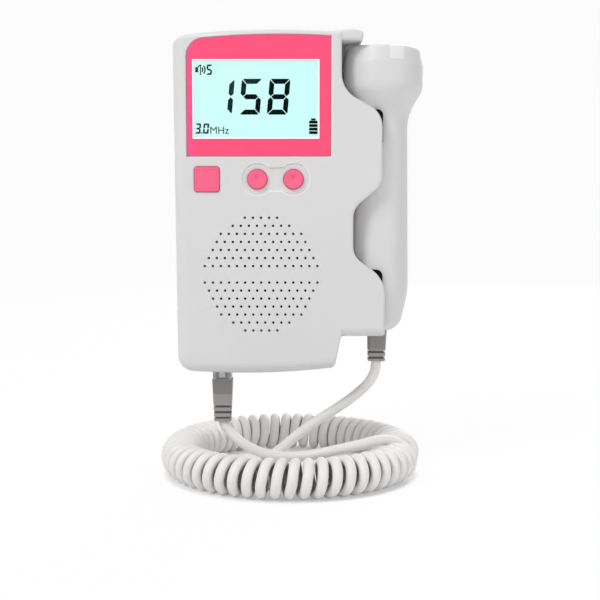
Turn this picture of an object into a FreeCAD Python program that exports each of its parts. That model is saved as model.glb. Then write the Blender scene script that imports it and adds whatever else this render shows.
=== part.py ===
import FreeCAD, Part
import math
import os

# Fetal doppler monitor: a flat housing with a display, three buttons and a loudspeaker, a probe that
# slides sideways into a cradle on its right, and a curly cord from the one to the other.
# Millimetres. +X is to the viewer's right, +Y points out of the back and +Z is up. The origin is the
# centre of the flat back face, so the front face lies at y = -DEPTH.

V = FreeCAD.Vector

# Housing
DEPTH = 32.0
WALL = 2.2
LEFT_TOP_X = -33.2
LEFT_BOTTOM_X = -32.1
LEFT_HEIGHT = 58.0
TOP_Z = 67.4
TOP_CENTRE_X = 9.0
TOP_RADIUS = 330.0
BOTTOM_Z = -67.2
BOTTOM_CENTRE_X = -6.0
BOTTOM_RADIUS = 300.0
CORNER_RADIUS = 6.5
SIDE_ROUND = 4.6
SIDE_LIFT = 20.0
TOP_ROUND = 1.6
CRADLE_ROUND = 1.2
SEAM_WIDTH = 0.35
SEAM_DEPTH = 0.4
FIT_GAP = 0.1
ROOT_OVERLAP = 0.2

# Right-hand outline of the housing: x, z and corner radius, from the recess down to the foot
RECESS_X = 32.8
UPPER_EAR_X = 48.75
NOTCH_X = 37.5
LOWER_EAR_X = 50.0
EAR_FOOT_Z = -52.4
EAR_FOOT_SOFT = 4.0
RECESS_FLOOR = (44.2, 11.0)
UPPER_EAR_TOP = (35.3, 9.0)
UPPER_EAR_FOOT = (7.5, 6.5)
NOTCH_TOP = (-1.9, 7.5)
NOTCH_FOOT = (-20.7, 8.0)
LOWER_EAR_TOP = (-29.4, 12.0)
EAR_FOOT_ROUND = 1.5
FOOT_CORNER = (30.0, -66.1, 5.0)
FOOT_END = (8.0, -67.6)

# Lip over the probe's head
LIP_ROOT_X = 24.0
LIP_CREST_X = 38.0
LIP_TIP_X = 41.2
LIP_TIP_DROP = 1.0
LIP_ROOT_DROP = 0.6
LIP_UNDER_Z = 63.1
LIP_TOP_Z = 67.8
LIP_WIDTH = 30.6
LIP_ROUND = 1.5
LIP_EDGE = 1.3

# Rib behind the probe's head: how far it stands out of the recess, its y and its height
REST_REACH = 3.6
REST_ROOT = 1.0
REST_Y = (-13.0, -1.2)
REST_FOOT_Z = 46.0

# Probe: its axis leans to the right. Corners of its profile as radius, height and rounding
PROBE_AXIS_X = 48.9
PROBE_LEAN = 1.09
PROBE_FOOT_Z = -51.3
PROBE_TOP_Z = 61.9
PROBE_FOOT = (8.7, PROBE_FOOT_Z, 7.0)
PROBE_GRIP = (12.15, -35.5, 40.0)
PROBE_NECK = (10.1, 35.2, 18.0)
PROBE_SHOULDER = (15.95, 45.8, 8.0)
PROBE_HEAD = (15.95, 55.0, 10.0)
PROBE_CROWN = (14.5, PROBE_TOP_Z, 1.9)
CRADLE_PROFILE = [PROBE_GRIP, PROBE_NECK, PROBE_SHOULDER, PROBE_HEAD]
PROBE_WALL = 1.8
CRADLE_CLEARANCE = 0.4
LIP_CLEARANCE = 0.4

# Acoustic face, crystals and electronics in the probe
FACE_RADIUS = 12.4
FACE_THICKNESS = 2.0
FACE_DOME = 0.7
FACE_LEDGE = 1.6
CRYSTALS_ROUND = 4
CRYSTAL_RADIUS = 3.4
CRYSTAL_RING = 7.4
CRYSTAL_THICKNESS = 1.2
MARK_X = 4.2
MARK_WIDTH = 5.6
MARK_HEIGHT = 5.8
MARK_DEPTH = 0.12
PROBE_BOARD = (13.0, 1.6, 46.0)
PROBE_BOARD_FOOT_Z = -26.0
PROBE_CHIP = (6.0, 1.4, 8.0)
PROBE_CHIP_FOOT = 12.0

# Grip pads in the cradle: height of each pad's top edge and of its foot
PAD_THICKNESS = 1.3
PAD_SPREAD = 8.0
PAD_RIGHT_X = 49.1
PAD_LEFT_X = 40.0
PAD_CORNER = 2.4
PADS = [(36.9, 22.0), (-25.9, -44.0)]

# Display
DISPLAY_LEFT_X = -25.3
DISPLAY_RIGHT_X = 24.2
DISPLAY_FOOT_Z = 25.2
DISPLAY_TOP_Z = 55.9
BEZEL_LEFT_X = -27.5
BEZEL_RIGHT_X = 28.6
BEZEL_FOOT_Z = 18.5
BEZEL_TOP_Z = 65.3
BEZEL_CORNER = 7.0
BEZEL_THICKNESS = 0.8
BEZEL_CHAMFER = 0.35
WINDOW_THICKNESS = 0.7
WINDOW_STEP = 0.6
GLASS_MARGIN = 1.5
GLASS_THICKNESS = 1.4
BACKLIGHT_THICKNESS = 3.0

# Buttons: centre x, all at one height
BUTTON_Z = 9.6
POWER_X = -19.8
POWER_SIZE = 9.9
POWER_CORNER = 1.1
VOLUME_X = (-0.1, 14.0)
VOLUME_RADIUS = 3.9
VOLUME_DISH = 9.0
DISH_DEPTH = 0.45
BUTTON_STAND = 0.7
BUTTON_FLANGE = 1.0
FLANGE_REACH = 0.9
BUTTON_GAP = 0.15
BUTTON_TRAVEL = 0.7
BUTTON_EDGE = 0.4
VOLUME_RECESS = 0.5
VOLUME_RECESS_RADIUS = 6.4
VOLUME_RECESS_WAIST = 4.6

# Loudspeaker and grille: holes in each row from the outer rows in to the middle gap
SPEAKER_X = 1.3
SPEAKER_Z = -27.55
GRILLE_PITCH = 3.155
GRILLE_GAP = 6.5
GRILLE_HOLE = 0.52
GRILLE_SIDES = 8
GRILLE_ROWS = (15, 14, 13, 12, 11, 8, 5)
SPEAKER_RADIUS = 20.0
SPEAKER_FLANGE = 1.2
SPEAKER_RING_WALL = 1.6
SPEAKER_RING_HEIGHT = 3.0
SPEAKER_BASKET_DEPTH = 6.4
BASKET_MOUTH = 17.0
BASKET_FOOT = 11.9
BASKET_HOLE = 5.0
SHEET = 0.7
CONE_RIM = 16.3
CONE_NECK = 6.0
CONE_DEPTH = 4.4
CONE_CAP = 2.6
CONE_SHEET = 0.4
MAGNET_RADIUS = 11.5
MAGNET_THICKNESS = 3.6

# Main board
BOARD_LEFT_X = -29.6
BOARD_RIGHT_X = 30.2
BOARD_FOOT_Z = -7.0
BOARD_TOP_Z = 57.4
BOARD_THICKNESS = 1.6
BOARD_POSTS = ((-27.0, -3.6), (28.4, -3.6), (28.4, 54.6), (-27.0, 19.6))
POST_RADIUS = 2.1
BOARD_SCREW_RADIUS = 0.9
BOARD_SCREW_HEAD = 1.8
BOARD_SCREW_CAP = 1.2
BOARD_SCREW_BITE = 4.0
SCREW_FIT = 0.02
CHIPS = ((-12.0, 2.0, 30.0, 44.0), (10.0, 20.0, 12.0, 17.0), (-22.0, -16.0, 44.0, 52.0))
CHIP_HEIGHT = 1.4
CAPACITORS = ((16.0, 34.0), (16.0, 42.0))
CAPACITOR_RADIUS = 3.2
CAPACITOR_HEIGHT = 6.0
SWITCH_SIZE = 6.0
SWITCH_HEIGHT = 2.2
PLUNGER_RADIUS = 1.7
PLUNGER_STAND = 0.6
SWITCH_GAP = 0.05

# Batteries, their bay in the back and its sliding cover
CELL_RADIUS = 7.25
CELL_LENGTH = 49.2
CELL_NUB_RADIUS = 2.75
CELL_NUB = 1.3
CELL_PITCH = 15.2
BAY_CENTRE_X = -1.0
BAY_CENTRE_Z = -30.0
BAY_LENGTH = 54.0
BAY_WALL = 1.4
COVER_THICKNESS = 2.0
COVER_TOP_Z = -11.0
COVER_HALF_WIDTH = 27.5
COVER_TONGUE = 1.0
COVER_SEAT = 1.5
COVER_GAP = 0.15
COVER_RIBS = 5
COVER_RIB_DROP = 7.0
COVER_RIB_PITCH = 2.2
COVER_RIB_HALF = 8.0
COVER_RIB_WIDTH = 1.0
COVER_RIB_DEPTH = 0.5
SEAT_REACH = 2.0
CELL_CLEARANCE = 0.4
CELL_SEAT = 0.2
CONTACT_THICKNESS = 0.4
CONTACT_WIDTH = 8.0
CONTACT_HALF = 5.0
CONTACT_GAP = 0.05
CREST_HALF = 0.6

# Screws: x, z and how far the head sits below the back face
HOUSING_SCREWS = ((-22.0, 61.4, 1.4), (22.0, 62.4, 1.4), (-25.4, -58.4, 3.6), (25.4, -58.4, 3.6))
SCREW_RADIUS = 1.25
SCREW_HEAD_RADIUS = 2.4
SCREW_HEAD = 1.6
SCREW_LENGTH = 17.5
SCREW_HOLE_GAP = 0.3
SLOT_REACH = 1.5
SLOT_WIDTH = 0.5
SLOT_DEPTH = 0.7
BOSS_RADIUS = 3.2

# Modular plugs and jacks
PLUG_X = -15.1
PLUG_WIDTH = 7.65
PLUG_DEPTH = 6.6
PLUG_LENGTH = 13.0
PLUG_SHOW = 4.2
PROBE_PLUG_SHOW = 1.7
PLUG_HOLE_GAP = 0.4
PLUG_PINS = 4
PIN_PITCH = 1.27
PIN_WIDTH = 0.6
PIN_DEPTH = 1.2
PIN_LENGTH = 4.6
LATCH_WIDTH = 5.2
LATCH_DEPTH = 0.9
LATCH_FOOT = 0.4
BOOT_TIP = 6.9
UNIT_BOOT_WIDTH = 8.3
UNIT_BOOT_LENGTH = 17.2
PROBE_BOOT_WIDTH = 7.6
PROBE_BOOT_LENGTH = 10.8
RIB_DEPTH = 0.7
RIB_WIDTH = 0.9
RIB_PITCH = 2.35
RIB_FOOT = 1.5
BOOT_FLATTEN = 0.6
BOOT_CORNER = 1.2
JACK_WIDTH = 11.2
JACK_DEPTH = 12.6
JACK_LENGTH = 14.6
JACK_LIFT = 0.6
PROBE_JACK_LENGTH = 19.0
PROBE_JACK_SIZE = 10.2
PLUG_GAP = 0.1

# Headphone jack in the left side of the rear housing
HEADPHONE_Y = -9.4
HEADPHONE_Z = -4.6
HEADPHONE_BORE = 1.8
HEADPHONE_NOSE = 3.0
HEADPHONE_SINK = 0.2
HEADPHONE_LENGTH = 14.0
HEADPHONE_BODY = 6.4

# Cord: plain tails and one coiled ring that lies on the table below
CORD_DIAMETER = 4.1
COIL_RADIUS = 7.7
RING_RADIUS = 44.9
RING_CENTRE = V(12.8, -20.0, -101.2)
RING_START = -3.0
RING_SPAN = 346.0
UNIT_TAIL = [
    (-15.1, -16.0, -88.6),
    (-13.0, -16.9, -92.7),
    (-9.1, -19.3, -96.0),
    (-4.2, -23.6, -98.3),
    (0.9, -29.2, -99.3),
    (6.2, -35.0, -99.4),
    (12.0, -40.2, -98.7),
    (18.6, -44.0, -97.4),
    (25.6, -45.6, -95.8),
    (32.8, -45.0, -94.3),
    (40.0, -42.6, -93.2),
    (46.5, -38.6, -92.3),
    (51.6, -35.2, -92.6),
    (56.4, -33.0, -95.0),
]
PROBE_TAIL = [
    (47.68, -16.0, -63.82),
    (47.63, -16.0, -66.6),
    (46.7, -16.0, -69.9),
    (44.6, -16.0, -73.3),
    (40.9, -16.0, -76.8),
    (36.2, -16.2, -80.5),
    (31.2, -16.7, -83.8),
    (26.4, -17.4, -86.7),
    (21.6, -18.5, -89.6),
    (17.0, -19.9, -92.7),
    (13.0, -21.4, -95.7),
    (8.4, -23.6, -99.3),
    (3.0, -25.7, -102.8),
    (-2.5, -30.6, -105.1),
    (-4.9, -37.8, -106.3),
    (-3.1, -45.0, -106.8),
    (2.3, -50.5, -106.8),
    (9.6, -52.6, -106.8),
    (16.6, -51.2, -106.8),
    (24.4, -48.8, -106.8),
    (32.2, -45.6, -106.8),
    (39.2, -42.6, -106.8),
    (44.6, -38.2, -106.8),
    (48.2, -32.4, -106.8),
    (50.6, -26.6, -106.8),
    (53.8, -23.0, -106.8),
    (58.2, -22.3, -106.8),
]

MID_Y = -DEPTH / 2
FRONT_INNER_Y = -DEPTH + WALL
BOARD_FRONT_Y = FRONT_INNER_Y + GLASS_THICKNESS + BACKLIGHT_THICKNESS + 2 * FIT_GAP
BOARD_BACK_Y = BOARD_FRONT_Y + BOARD_THICKNESS
CELL_Y = -COVER_THICKNESS - CELL_CLEARANCE - CELL_RADIUS
BAY_FLOOR_Y = CELL_Y - CELL_RADIUS - CELL_SEAT
SWITCH_TOP_Y = BOARD_FRONT_Y - SWITCH_HEIGHT - PLUNGER_STAND
UNIT_BOOT_TOP = BOTTOM_Z - PLUG_SHOW
UNIT_PLUG_TOP = UNIT_BOOT_TOP + PLUG_LENGTH
FACE_SEAT_Z = PROBE_TOP_Z - FACE_THICKNESS
PROBE_BOOT_TOP = PROBE_FOOT_Z - PROBE_PLUG_SHOW
PROBE_PLUG_TOP = PROBE_BOOT_TOP + PLUG_LENGTH
OPEN_X = 60.0
FAR = 90.0


# Shared helpers

def box(x0, x1, y0, y1, z0, z1):
    return Part.makeBox(x1 - x0, y1 - y0, z1 - z0, V(x0, y0, z0))


def front_rod(radius, x, z, y0, y1):
    """A cylinder along Y."""
    return Part.makeCylinder(radius, y1 - y0, V(x, y0, z), V(0, 1, 0))


def side_rod(radius, x0, x1, y, z):
    """A cylinder along X."""
    return Part.makeCylinder(radius, x1 - x0, V(x0, y, z), V(1, 0, 0))


def rounded_wire(corners):
    """A closed wire in the XZ plane through (x, z, radius) corners, each rounded by a tangent arc."""
    edges = []
    first = None
    last = None
    count = len(corners)
    for i in range(count):
        x, z, radius = corners[i]
        before = V(corners[i - 1][0], 0, corners[i - 1][1])
        after = V(corners[(i + 1) % count][0], 0, corners[(i + 1) % count][1])
        here = V(x, 0, z)
        way_in = (before - here).normalize()
        way_out = (after - here).normalize()
        if radius > 0:
            half = way_in.getAngle(way_out) / 2
            start = here + way_in * (radius / math.tan(half))
            end = here + way_out * (radius / math.tan(half))
            middle = here + (way_in + way_out).normalize() * (radius / math.sin(half) - radius)
        else:
            start = end = here
        if last is not None:
            edges.append(Part.makeLine(last, start))
        if radius > 0:
            edges.append(Part.Arc(start, middle, end).toShape())
        first = start if first is None else first
        last = end
    edges.append(Part.makeLine(last, first))
    return Part.Wire(edges)


def slab(wire, y0, y1):
    """The solid between y0 and y1 inside a wire of the XZ plane."""
    face = Part.Face(wire)
    face.translate(V(0, y0, 0))
    return face.extrude(V(0, y1 - y0, 0))


def rounded_box(x0, x1, y0, y1, z0, z1, radius):
    """A box whose four edges along Y are rounded."""
    corners = [(x0, z0, radius), (x1, z0, radius), (x1, z1, radius), (x0, z1, radius)]
    return slab(rounded_wire(corners), y0, y1)


def edges_at_y(shape, y):
    """Edges that lie wholly in the plane at this y."""
    return [e for e in shape.Edges if abs(e.BoundBox.YMin - y) < 1e-4 and abs(e.BoundBox.YMax - y) < 1e-4]


def fuse(shapes):
    return shapes[0].multiFuse(shapes[1:]).removeSplitter()


# Housing form

def left_x(z):
    """The tapering left side."""
    share = (LEFT_HEIGHT - z) / (2 * LEFT_HEIGHT)
    return LEFT_TOP_X + (LEFT_BOTTOM_X - LEFT_TOP_X) * share


def top_z(x):
    return TOP_Z - (x - TOP_CENTRE_X) ** 2 / (2 * TOP_RADIUS)


def bottom_z(x):
    return BOTTOM_Z + (x - BOTTOM_CENTRE_X) ** 2 / (2 * BOTTOM_RADIUS)


def soft_block(inset, rounding, lift):
    """The housing's left, top and bottom, open-ended to the right, with its top raised by lift."""
    top_left = V(left_x(TOP_Z) + inset, 0, top_z(LEFT_TOP_X) - inset + lift)
    top_right = V(OPEN_X, 0, top_z(OPEN_X) - inset + lift)
    foot_left = V(left_x(BOTTOM_Z) + inset, 0, bottom_z(LEFT_BOTTOM_X) + inset)
    foot_right = V(OPEN_X, 0, bottom_z(OPEN_X) + inset)
    crown = V(TOP_CENTRE_X, 0, TOP_Z - inset + lift)
    sole = V(BOTTOM_CENTRE_X, 0, BOTTOM_Z + inset)
    wire = Part.Wire([
        Part.makeLine(foot_left, top_left),
        Part.Arc(top_left, crown, top_right).toShape(),
        Part.makeLine(top_right, foot_right),
        Part.Arc(foot_right, sole, foot_left).toShape(),
    ])
    block = slab(wire, -DEPTH + inset, -inset)
    upright = [e for e in block.Edges if e.BoundBox.YLength > 1 and e.BoundBox.XMax < 0]
    block = block.makeFillet(CORNER_RADIUS - inset, upright)
    if rounding <= inset:
        return block
    rim = edges_at_y(block, -DEPTH + inset) + edges_at_y(block, -inset)
    rim = [e for e in rim if e.BoundBox.XMin < OPEN_X - 1]
    return block.makeFillet(rounding - inset, rim)


def right_wire():
    """Outline with the recess, the two ears and the finger notch, far outside on the other sides."""
    return rounded_wire([
        (RECESS_X, FAR, 0),
        (RECESS_X,) + RECESS_FLOOR,
        (UPPER_EAR_X,) + UPPER_EAR_TOP,
        (UPPER_EAR_X,) + UPPER_EAR_FOOT,
        (NOTCH_X,) + NOTCH_TOP,
        (NOTCH_X,) + NOTCH_FOOT,
        (LOWER_EAR_X,) + LOWER_EAR_TOP,
        (LOWER_EAR_X, EAR_FOOT_Z, EAR_FOOT_ROUND),
        (RECESS_X, EAR_FOOT_Z, EAR_FOOT_ROUND),
        FOOT_CORNER,
        FOOT_END + (0,),
        (FOOT_END[0], -FAR, 0),
        (-FAR, -FAR, 0),
        (-FAR, FAR, 0),
    ])


def right_block(inset):
    """The right-hand outline as a plate, softly edged outside and sharp inside."""
    wire = right_wire()
    if inset:
        return slab(wire.makeOffset2D(-inset), -DEPTH + inset, -inset)
    plate = slab(wire, -DEPTH, 0)
    rim = edges_at_y(plate, -DEPTH) + edges_at_y(plate, 0)
    rim = [e for e in rim if FOOT_END[0] + 1 < e.BoundBox.XMin < OPEN_X and e.BoundBox.ZMin > -FAR + 1]
    return plate.makeFillet(CRADLE_ROUND, rim)


def lip():
    """The tongue that reaches over the probe's head."""
    wire = rounded_wire([
        (LIP_ROOT_X, LIP_UNDER_Z, 0),
        (LIP_TIP_X, LIP_UNDER_Z, LIP_ROUND),
        (LIP_TIP_X, LIP_TOP_Z - LIP_TIP_DROP, LIP_ROUND),
        (LIP_CREST_X, LIP_TOP_Z, LIP_ROUND),
        (LIP_ROOT_X, top_z(LIP_ROOT_X) - LIP_ROOT_DROP, 0),
    ])
    tongue = slab(wire, MID_Y - LIP_WIDTH / 2, MID_Y + LIP_WIDTH / 2)
    ends = edges_at_y(tongue, MID_Y - LIP_WIDTH / 2) + edges_at_y(tongue, MID_Y + LIP_WIDTH / 2)
    ends = [e for e in ends if e.BoundBox.XMax > LIP_ROOT_X + 1]
    return tongue.makeFillet(LIP_EDGE, ends)


def head_rest():
    """A rib of the recess wall that the probe's head lies against."""
    return box(RECESS_X - REST_ROOT, RECESS_X + REST_REACH, REST_Y[0], REST_Y[1],
               REST_FOOT_Z, LIP_UNDER_Z + REST_ROOT)


def ear_foot_cut(front):
    """What is taken off the ears' bottom edge to leave it softly rounded."""
    soft = EAR_FOOT_SOFT
    axis_y = soft - DEPTH if front else -soft
    edge_y = -DEPTH - soft if front else soft
    y0, y1 = min(axis_y, edge_y), max(axis_y, edge_y)
    corner = box(RECESS_X, FAR, y0, y1, EAR_FOOT_Z - EAR_FOOT_ROUND, EAR_FOOT_Z + soft)
    return corner.cut(side_rod(soft, RECESS_X - 1, FAR + 1, axis_y, EAR_FOOT_Z + soft))


def place_probe(shape):
    """From the probe's own frame, axis along Z, to where it sits in the cradle."""
    shape.rotate(V(0, 0, 0), V(0, 1, 0), PROBE_LEAN)
    shape.translate(V(PROBE_AXIS_X, MID_Y, 0))
    return shape


def cradle(extra):
    """The space the probe needs: its form turned round the axis and swept out to the right."""
    grow = CRADLE_CLEARANCE + extra
    ceiling = PROBE_TOP_Z + FACE_DOME + LIP_CLEARANCE + extra
    corners = [(r + grow, z, rounding) for r, z, rounding in CRADLE_PROFILE]
    foot = [(0, -FAR, 0), (PROBE_GRIP[0] + grow, -FAR, 0)]
    head = [(PROBE_CROWN[0] + grow, ceiling, 0), (0, ceiling, 0)]
    half = Part.Face(rounded_wire(foot + corners + head))
    round_part = half.revolve(V(0, 0, 0), V(0, 0, 1), 360)
    side = half.copy()
    side.rotate(V(0, 0, 0), V(0, 0, 1), 90)
    other = side.copy()
    other.rotate(V(0, 0, 0), V(0, 0, 1), 180)
    swept = [f.extrude(V(FAR, 0, 0)) for f in (side, other)]
    return place_probe(round_part.multiFuse(swept))


def pad_band(gap):
    """The layer of the cradle wall that the grip pads fill, cut to each pad's outline."""
    layer = cradle(PAD_THICKNESS + gap).cut(cradle(0))
    windows = []
    for top, foot in PADS:
        windows.append(rounded_box(PAD_LEFT_X - gap, PAD_RIGHT_X + gap, -DEPTH, 0, foot - gap, top + gap,
                                   PAD_CORNER + gap))
    return [layer.common(w) for w in windows]


def dock_pads():
    """Four rubber pads, before and behind the probe at each ear."""
    pads = []
    for band in pad_band(0):
        for y0, y1 in ((-DEPTH, MID_Y - PAD_SPREAD), (MID_Y + PAD_SPREAD, 0)):
            pads += band.common(box(0, FAR, y0, y1, -FAR, FAR)).Solids
    return Part.Compound(pads)


def housing_body():
    """Outer form of both shells together, with the cradle cut in."""
    soft = soft_block(0, SIDE_ROUND, SIDE_LIFT).common(soft_block(0, TOP_ROUND, 0))
    body = soft.common(right_block(0))
    body = body.multiFuse([lip(), head_rest()])
    body = body.cut([ear_foot_cut(True), ear_foot_cut(False)])
    return body.cut(cradle(0)).cut(Part.Compound(pad_band(FIT_GAP)))


def housing_cavity():
    """The hollow inside both shells, which keeps a wall along the cradle."""
    soft = soft_block(WALL, SIDE_ROUND, SIDE_LIFT).common(soft_block(WALL, TOP_ROUND, 0))
    return soft.common(right_block(WALL)).cut(cradle(WALL)).cut(Part.Compound(pad_band(WALL)))


# Front housing and what it carries

def bezel_wire(inset):
    left = BEZEL_LEFT_X + inset
    right = BEZEL_RIGHT_X - inset
    foot = BEZEL_FOOT_Z + inset
    drop = BEZEL_TOP_Z - TOP_Z - inset
    corner = BEZEL_CORNER - inset
    start = V(left, 0, top_z(left + corner) + drop - corner)
    arch_left = V(left + corner, 0, top_z(left + corner) + drop)
    arch_right = V(right, 0, top_z(right) + drop)
    bend = V(left + corner * (1 - math.cos(math.pi / 4)), 0, start.z + corner * math.sin(math.pi / 4))
    return Part.Wire([
        Part.makeLine(V(left, 0, foot), start),
        Part.Arc(start, bend, arch_left).toShape(),
        Part.Arc(arch_left, V(TOP_CENTRE_X, 0, TOP_Z + drop), arch_right).toShape(),
        Part.makeLine(arch_right, V(right, 0, foot)),
        Part.makeLine(V(right, 0, foot), V(left, 0, foot)),
    ])


def bezel_recess():
    """The pocket for the trim, with a fine chamfer round its mouth."""
    mouth = bezel_wire(-BEZEL_CHAMFER)
    mouth.translate(V(0, -DEPTH, 0))
    neck = bezel_wire(0)
    neck.translate(V(0, -DEPTH + BEZEL_CHAMFER, 0))
    pocket = slab(bezel_wire(0), -DEPTH, -DEPTH + BEZEL_THICKNESS)
    return pocket.fuse(Part.makeLoft([mouth, neck], True, True))


def display_box(margin, y0, y1):
    return box(DISPLAY_LEFT_X - margin, DISPLAY_RIGHT_X + margin, y0, y1,
               DISPLAY_FOOT_Z - margin, DISPLAY_TOP_Z + margin)


def display_bezel():
    """Coloured trim let into the front round the display."""
    plate = slab(bezel_wire(FIT_GAP), -DEPTH, -DEPTH + BEZEL_THICKNESS)
    return plate.cut(display_box(0, -FAR, 0))


def display_window():
    """Clear lens inside the trim, on a step of the housing."""
    return display_box(-FIT_GAP, -DEPTH + FIT_GAP, -DEPTH + FIT_GAP + WINDOW_THICKNESS)


def lcd_panel():
    return display_box(GLASS_MARGIN, FRONT_INNER_Y + FIT_GAP, FRONT_INNER_Y + FIT_GAP + GLASS_THICKNESS)


def lcd_backlight():
    """Light guide that fills the space between the glass and the board."""
    return display_box(GLASS_MARGIN, FRONT_INNER_Y + FIT_GAP + GLASS_THICKNESS, BOARD_FRONT_Y)


def power_solid(grow, y0, y1):
    half = POWER_SIZE / 2 + grow
    corner = POWER_CORNER + grow
    return rounded_box(POWER_X - half, POWER_X + half, y0, y1, BUTTON_Z - half, BUTTON_Z + half, corner)


def button(cap, flange, x):
    """Cap, flange behind the front wall and a stem that ends just above the switch."""
    stem = front_rod(PLUNGER_RADIUS, x, BUTTON_Z, FRONT_INNER_Y, SWITCH_TOP_Y - BUTTON_TRAVEL - SWITCH_GAP)
    return fuse([cap, flange, stem])


def power_button():
    front = -DEPTH - BUTTON_STAND
    cap = power_solid(0, front, FRONT_INNER_Y + FIT_GAP + BUTTON_FLANGE)
    cap = cap.makeFillet(BUTTON_EDGE, edges_at_y(cap, front))
    flange = power_solid(FLANGE_REACH, FRONT_INNER_Y + FIT_GAP, FRONT_INNER_Y + FIT_GAP + BUTTON_FLANGE)
    return button(cap, flange, POWER_X)


def volume_button(x):
    front = -DEPTH - BUTTON_STAND
    seat = FRONT_INNER_Y + FIT_GAP
    cap = front_rod(VOLUME_RADIUS, x, BUTTON_Z, front, seat + BUTTON_FLANGE)
    cap = cap.makeFillet(BUTTON_EDGE, edges_at_y(cap, front))
    dish = Part.makeSphere(VOLUME_DISH, V(x, front - VOLUME_DISH + DISH_DEPTH, BUTTON_Z))
    flange = front_rod(VOLUME_RADIUS + FLANGE_REACH, x, BUTTON_Z, seat, seat + BUTTON_FLANGE)
    return button(cap.cut(dish), flange, x)


def volume_recess():
    """Shallow peanut-shaped recess round the two volume buttons."""
    middle = sum(VOLUME_X) / 2
    y1 = -DEPTH + VOLUME_RECESS
    discs = [front_rod(VOLUME_RECESS_RADIUS, x, BUTTON_Z, -DEPTH - 1, y1) for x in VOLUME_X]
    half = (VOLUME_X[1] - VOLUME_X[0]) / 2
    bridge = box(middle - half, middle + half, -DEPTH - 1, y1, BUTTON_Z - VOLUME_RECESS_WAIST,
                 BUTTON_Z + VOLUME_RECESS_WAIST)
    return fuse(discs + [bridge])


def grille_holes():
    """Rows of small holes above and below a middle gap, every row centred."""
    holes = []
    for row, count in enumerate(GRILLE_ROWS):
        height = GRILLE_GAP / 2 + row * GRILLE_PITCH
        for side in (1, -1):
            for place in range(count):
                x = SPEAKER_X + (place - (count - 1) / 2) * GRILLE_PITCH
                z = SPEAKER_Z + side * height
                wire = Part.makePolygon([
                    V(x + GRILLE_HOLE * math.cos(a), 0, z + GRILLE_HOLE * math.sin(a))
                    for a in [2 * math.pi * (k + 0.5) / GRILLE_SIDES for k in range(GRILLE_SIDES + 1)]
                ])
                holes.append(slab(wire, -DEPTH - 1, FRONT_INNER_Y + 1))
    return Part.Compound(holes)


def tube(radius, bore, x, z, y0, y1):
    return front_rod(radius, x, z, y0, y1).cut(front_rod(bore, x, z, y0 - 1, y1 + 1))


def half_space(front):
    return box(-FAR, FAR, -FAR, MID_Y, -FAR, FAR) if front else box(-FAR, FAR, MID_Y, FAR, -FAR, FAR)


def seam(body):
    """A fine groove along the joint line between the shells."""
    band = box(-FAR, FAR, MID_Y - SEAM_WIDTH / 2, MID_Y + SEAM_WIDTH / 2, -FAR, FAR)
    core = soft_block(SEAM_DEPTH, SIDE_ROUND, 0).common(right_block(SEAM_DEPTH))
    return band.common(body).cut(core)


def plug_hole():
    """Opening in the underside for the cord's plug."""
    half_x = PLUG_WIDTH / 2 + PLUG_HOLE_GAP
    half_y = PLUG_DEPTH / 2 + PLUG_HOLE_GAP
    return box(PLUG_X - half_x, PLUG_X + half_x, MID_Y - half_y, MID_Y + half_y, -FAR, BOTTOM_Z + 2 * WALL)


def headphone_hole():
    inner = left_x(HEADPHONE_Z) + 2 * WALL
    return side_rod(HEADPHONE_NOSE + BUTTON_GAP, -FAR, inner, HEADPHONE_Y, HEADPHONE_Z)


def front_housing(body, cavity):
    shell = body.cut(cavity).common(half_space(True))
    root_y = FRONT_INNER_Y - ROOT_OVERLAP
    adds = [tube(SPEAKER_RADIUS + SPEAKER_RING_WALL, SPEAKER_RADIUS + BUTTON_GAP, SPEAKER_X, SPEAKER_Z,
                 root_y, FRONT_INNER_Y + SPEAKER_RING_HEIGHT)]
    for x, z in BOARD_POSTS:
        adds.append(tube(POST_RADIUS, BOARD_SCREW_RADIUS, x, z, root_y, BOARD_FRONT_Y))
    for x, z, _ in HOUSING_SCREWS:
        adds.append(tube(BOSS_RADIUS, SCREW_RADIUS + SCREW_FIT, x, z, root_y, MID_Y))
    inside = cavity.fuse(shell)
    shell = shell.multiFuse([a.common(inside) for a in adds])
    cuts = [
        bezel_recess(),
        display_box(-WINDOW_STEP, -FAR, MID_Y),
        power_solid(BUTTON_GAP, -FAR, MID_Y),
        volume_recess(),
        grille_holes(),
        plug_hole(),
    ]
    for x in VOLUME_X:
        cuts.append(front_rod(VOLUME_RADIUS + BUTTON_GAP, x, BUTTON_Z, -FAR, MID_Y))
    return shell.cut(cuts)


def speaker_frame():
    """Flange in the housing's ring and a basket that narrows to the magnet."""
    y0 = FRONT_INNER_Y + FIT_GAP
    y1 = y0 + SPEAKER_FLANGE
    y2 = y0 + SPEAKER_BASKET_DEPTH
    return turned([
        (SPEAKER_RADIUS, y0), (SPEAKER_RADIUS, y1), (BASKET_MOUTH + SHEET, y1), (BASKET_FOOT + SHEET, y2),
        (BASKET_HOLE, y2), (BASKET_HOLE, y2 - SHEET), (BASKET_FOOT, y2 - SHEET), (BASKET_MOUTH, y0),
    ])


def turned(outline):
    """A body turned round the loudspeaker's axis from (radius, y) points."""
    wire = Part.makePolygon([V(SPEAKER_X + r, y, SPEAKER_Z) for r, y in outline + outline[:1]])
    return Part.Face(wire).revolve(V(SPEAKER_X, 0, SPEAKER_Z), V(0, 1, 0), 360)


def speaker_cone():
    """Paper cone with its dust cap."""
    y0 = FRONT_INNER_Y + SPEAKER_FLANGE / 2
    return turned([
        (CONE_RIM - CONE_SHEET, y0), (CONE_RIM, y0), (CONE_NECK, y0 + CONE_DEPTH), (0, y0 + CONE_CAP),
        (0, y0 + CONE_CAP - CONE_SHEET), (CONE_NECK, y0 + CONE_DEPTH - CONE_SHEET),
    ])


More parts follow.
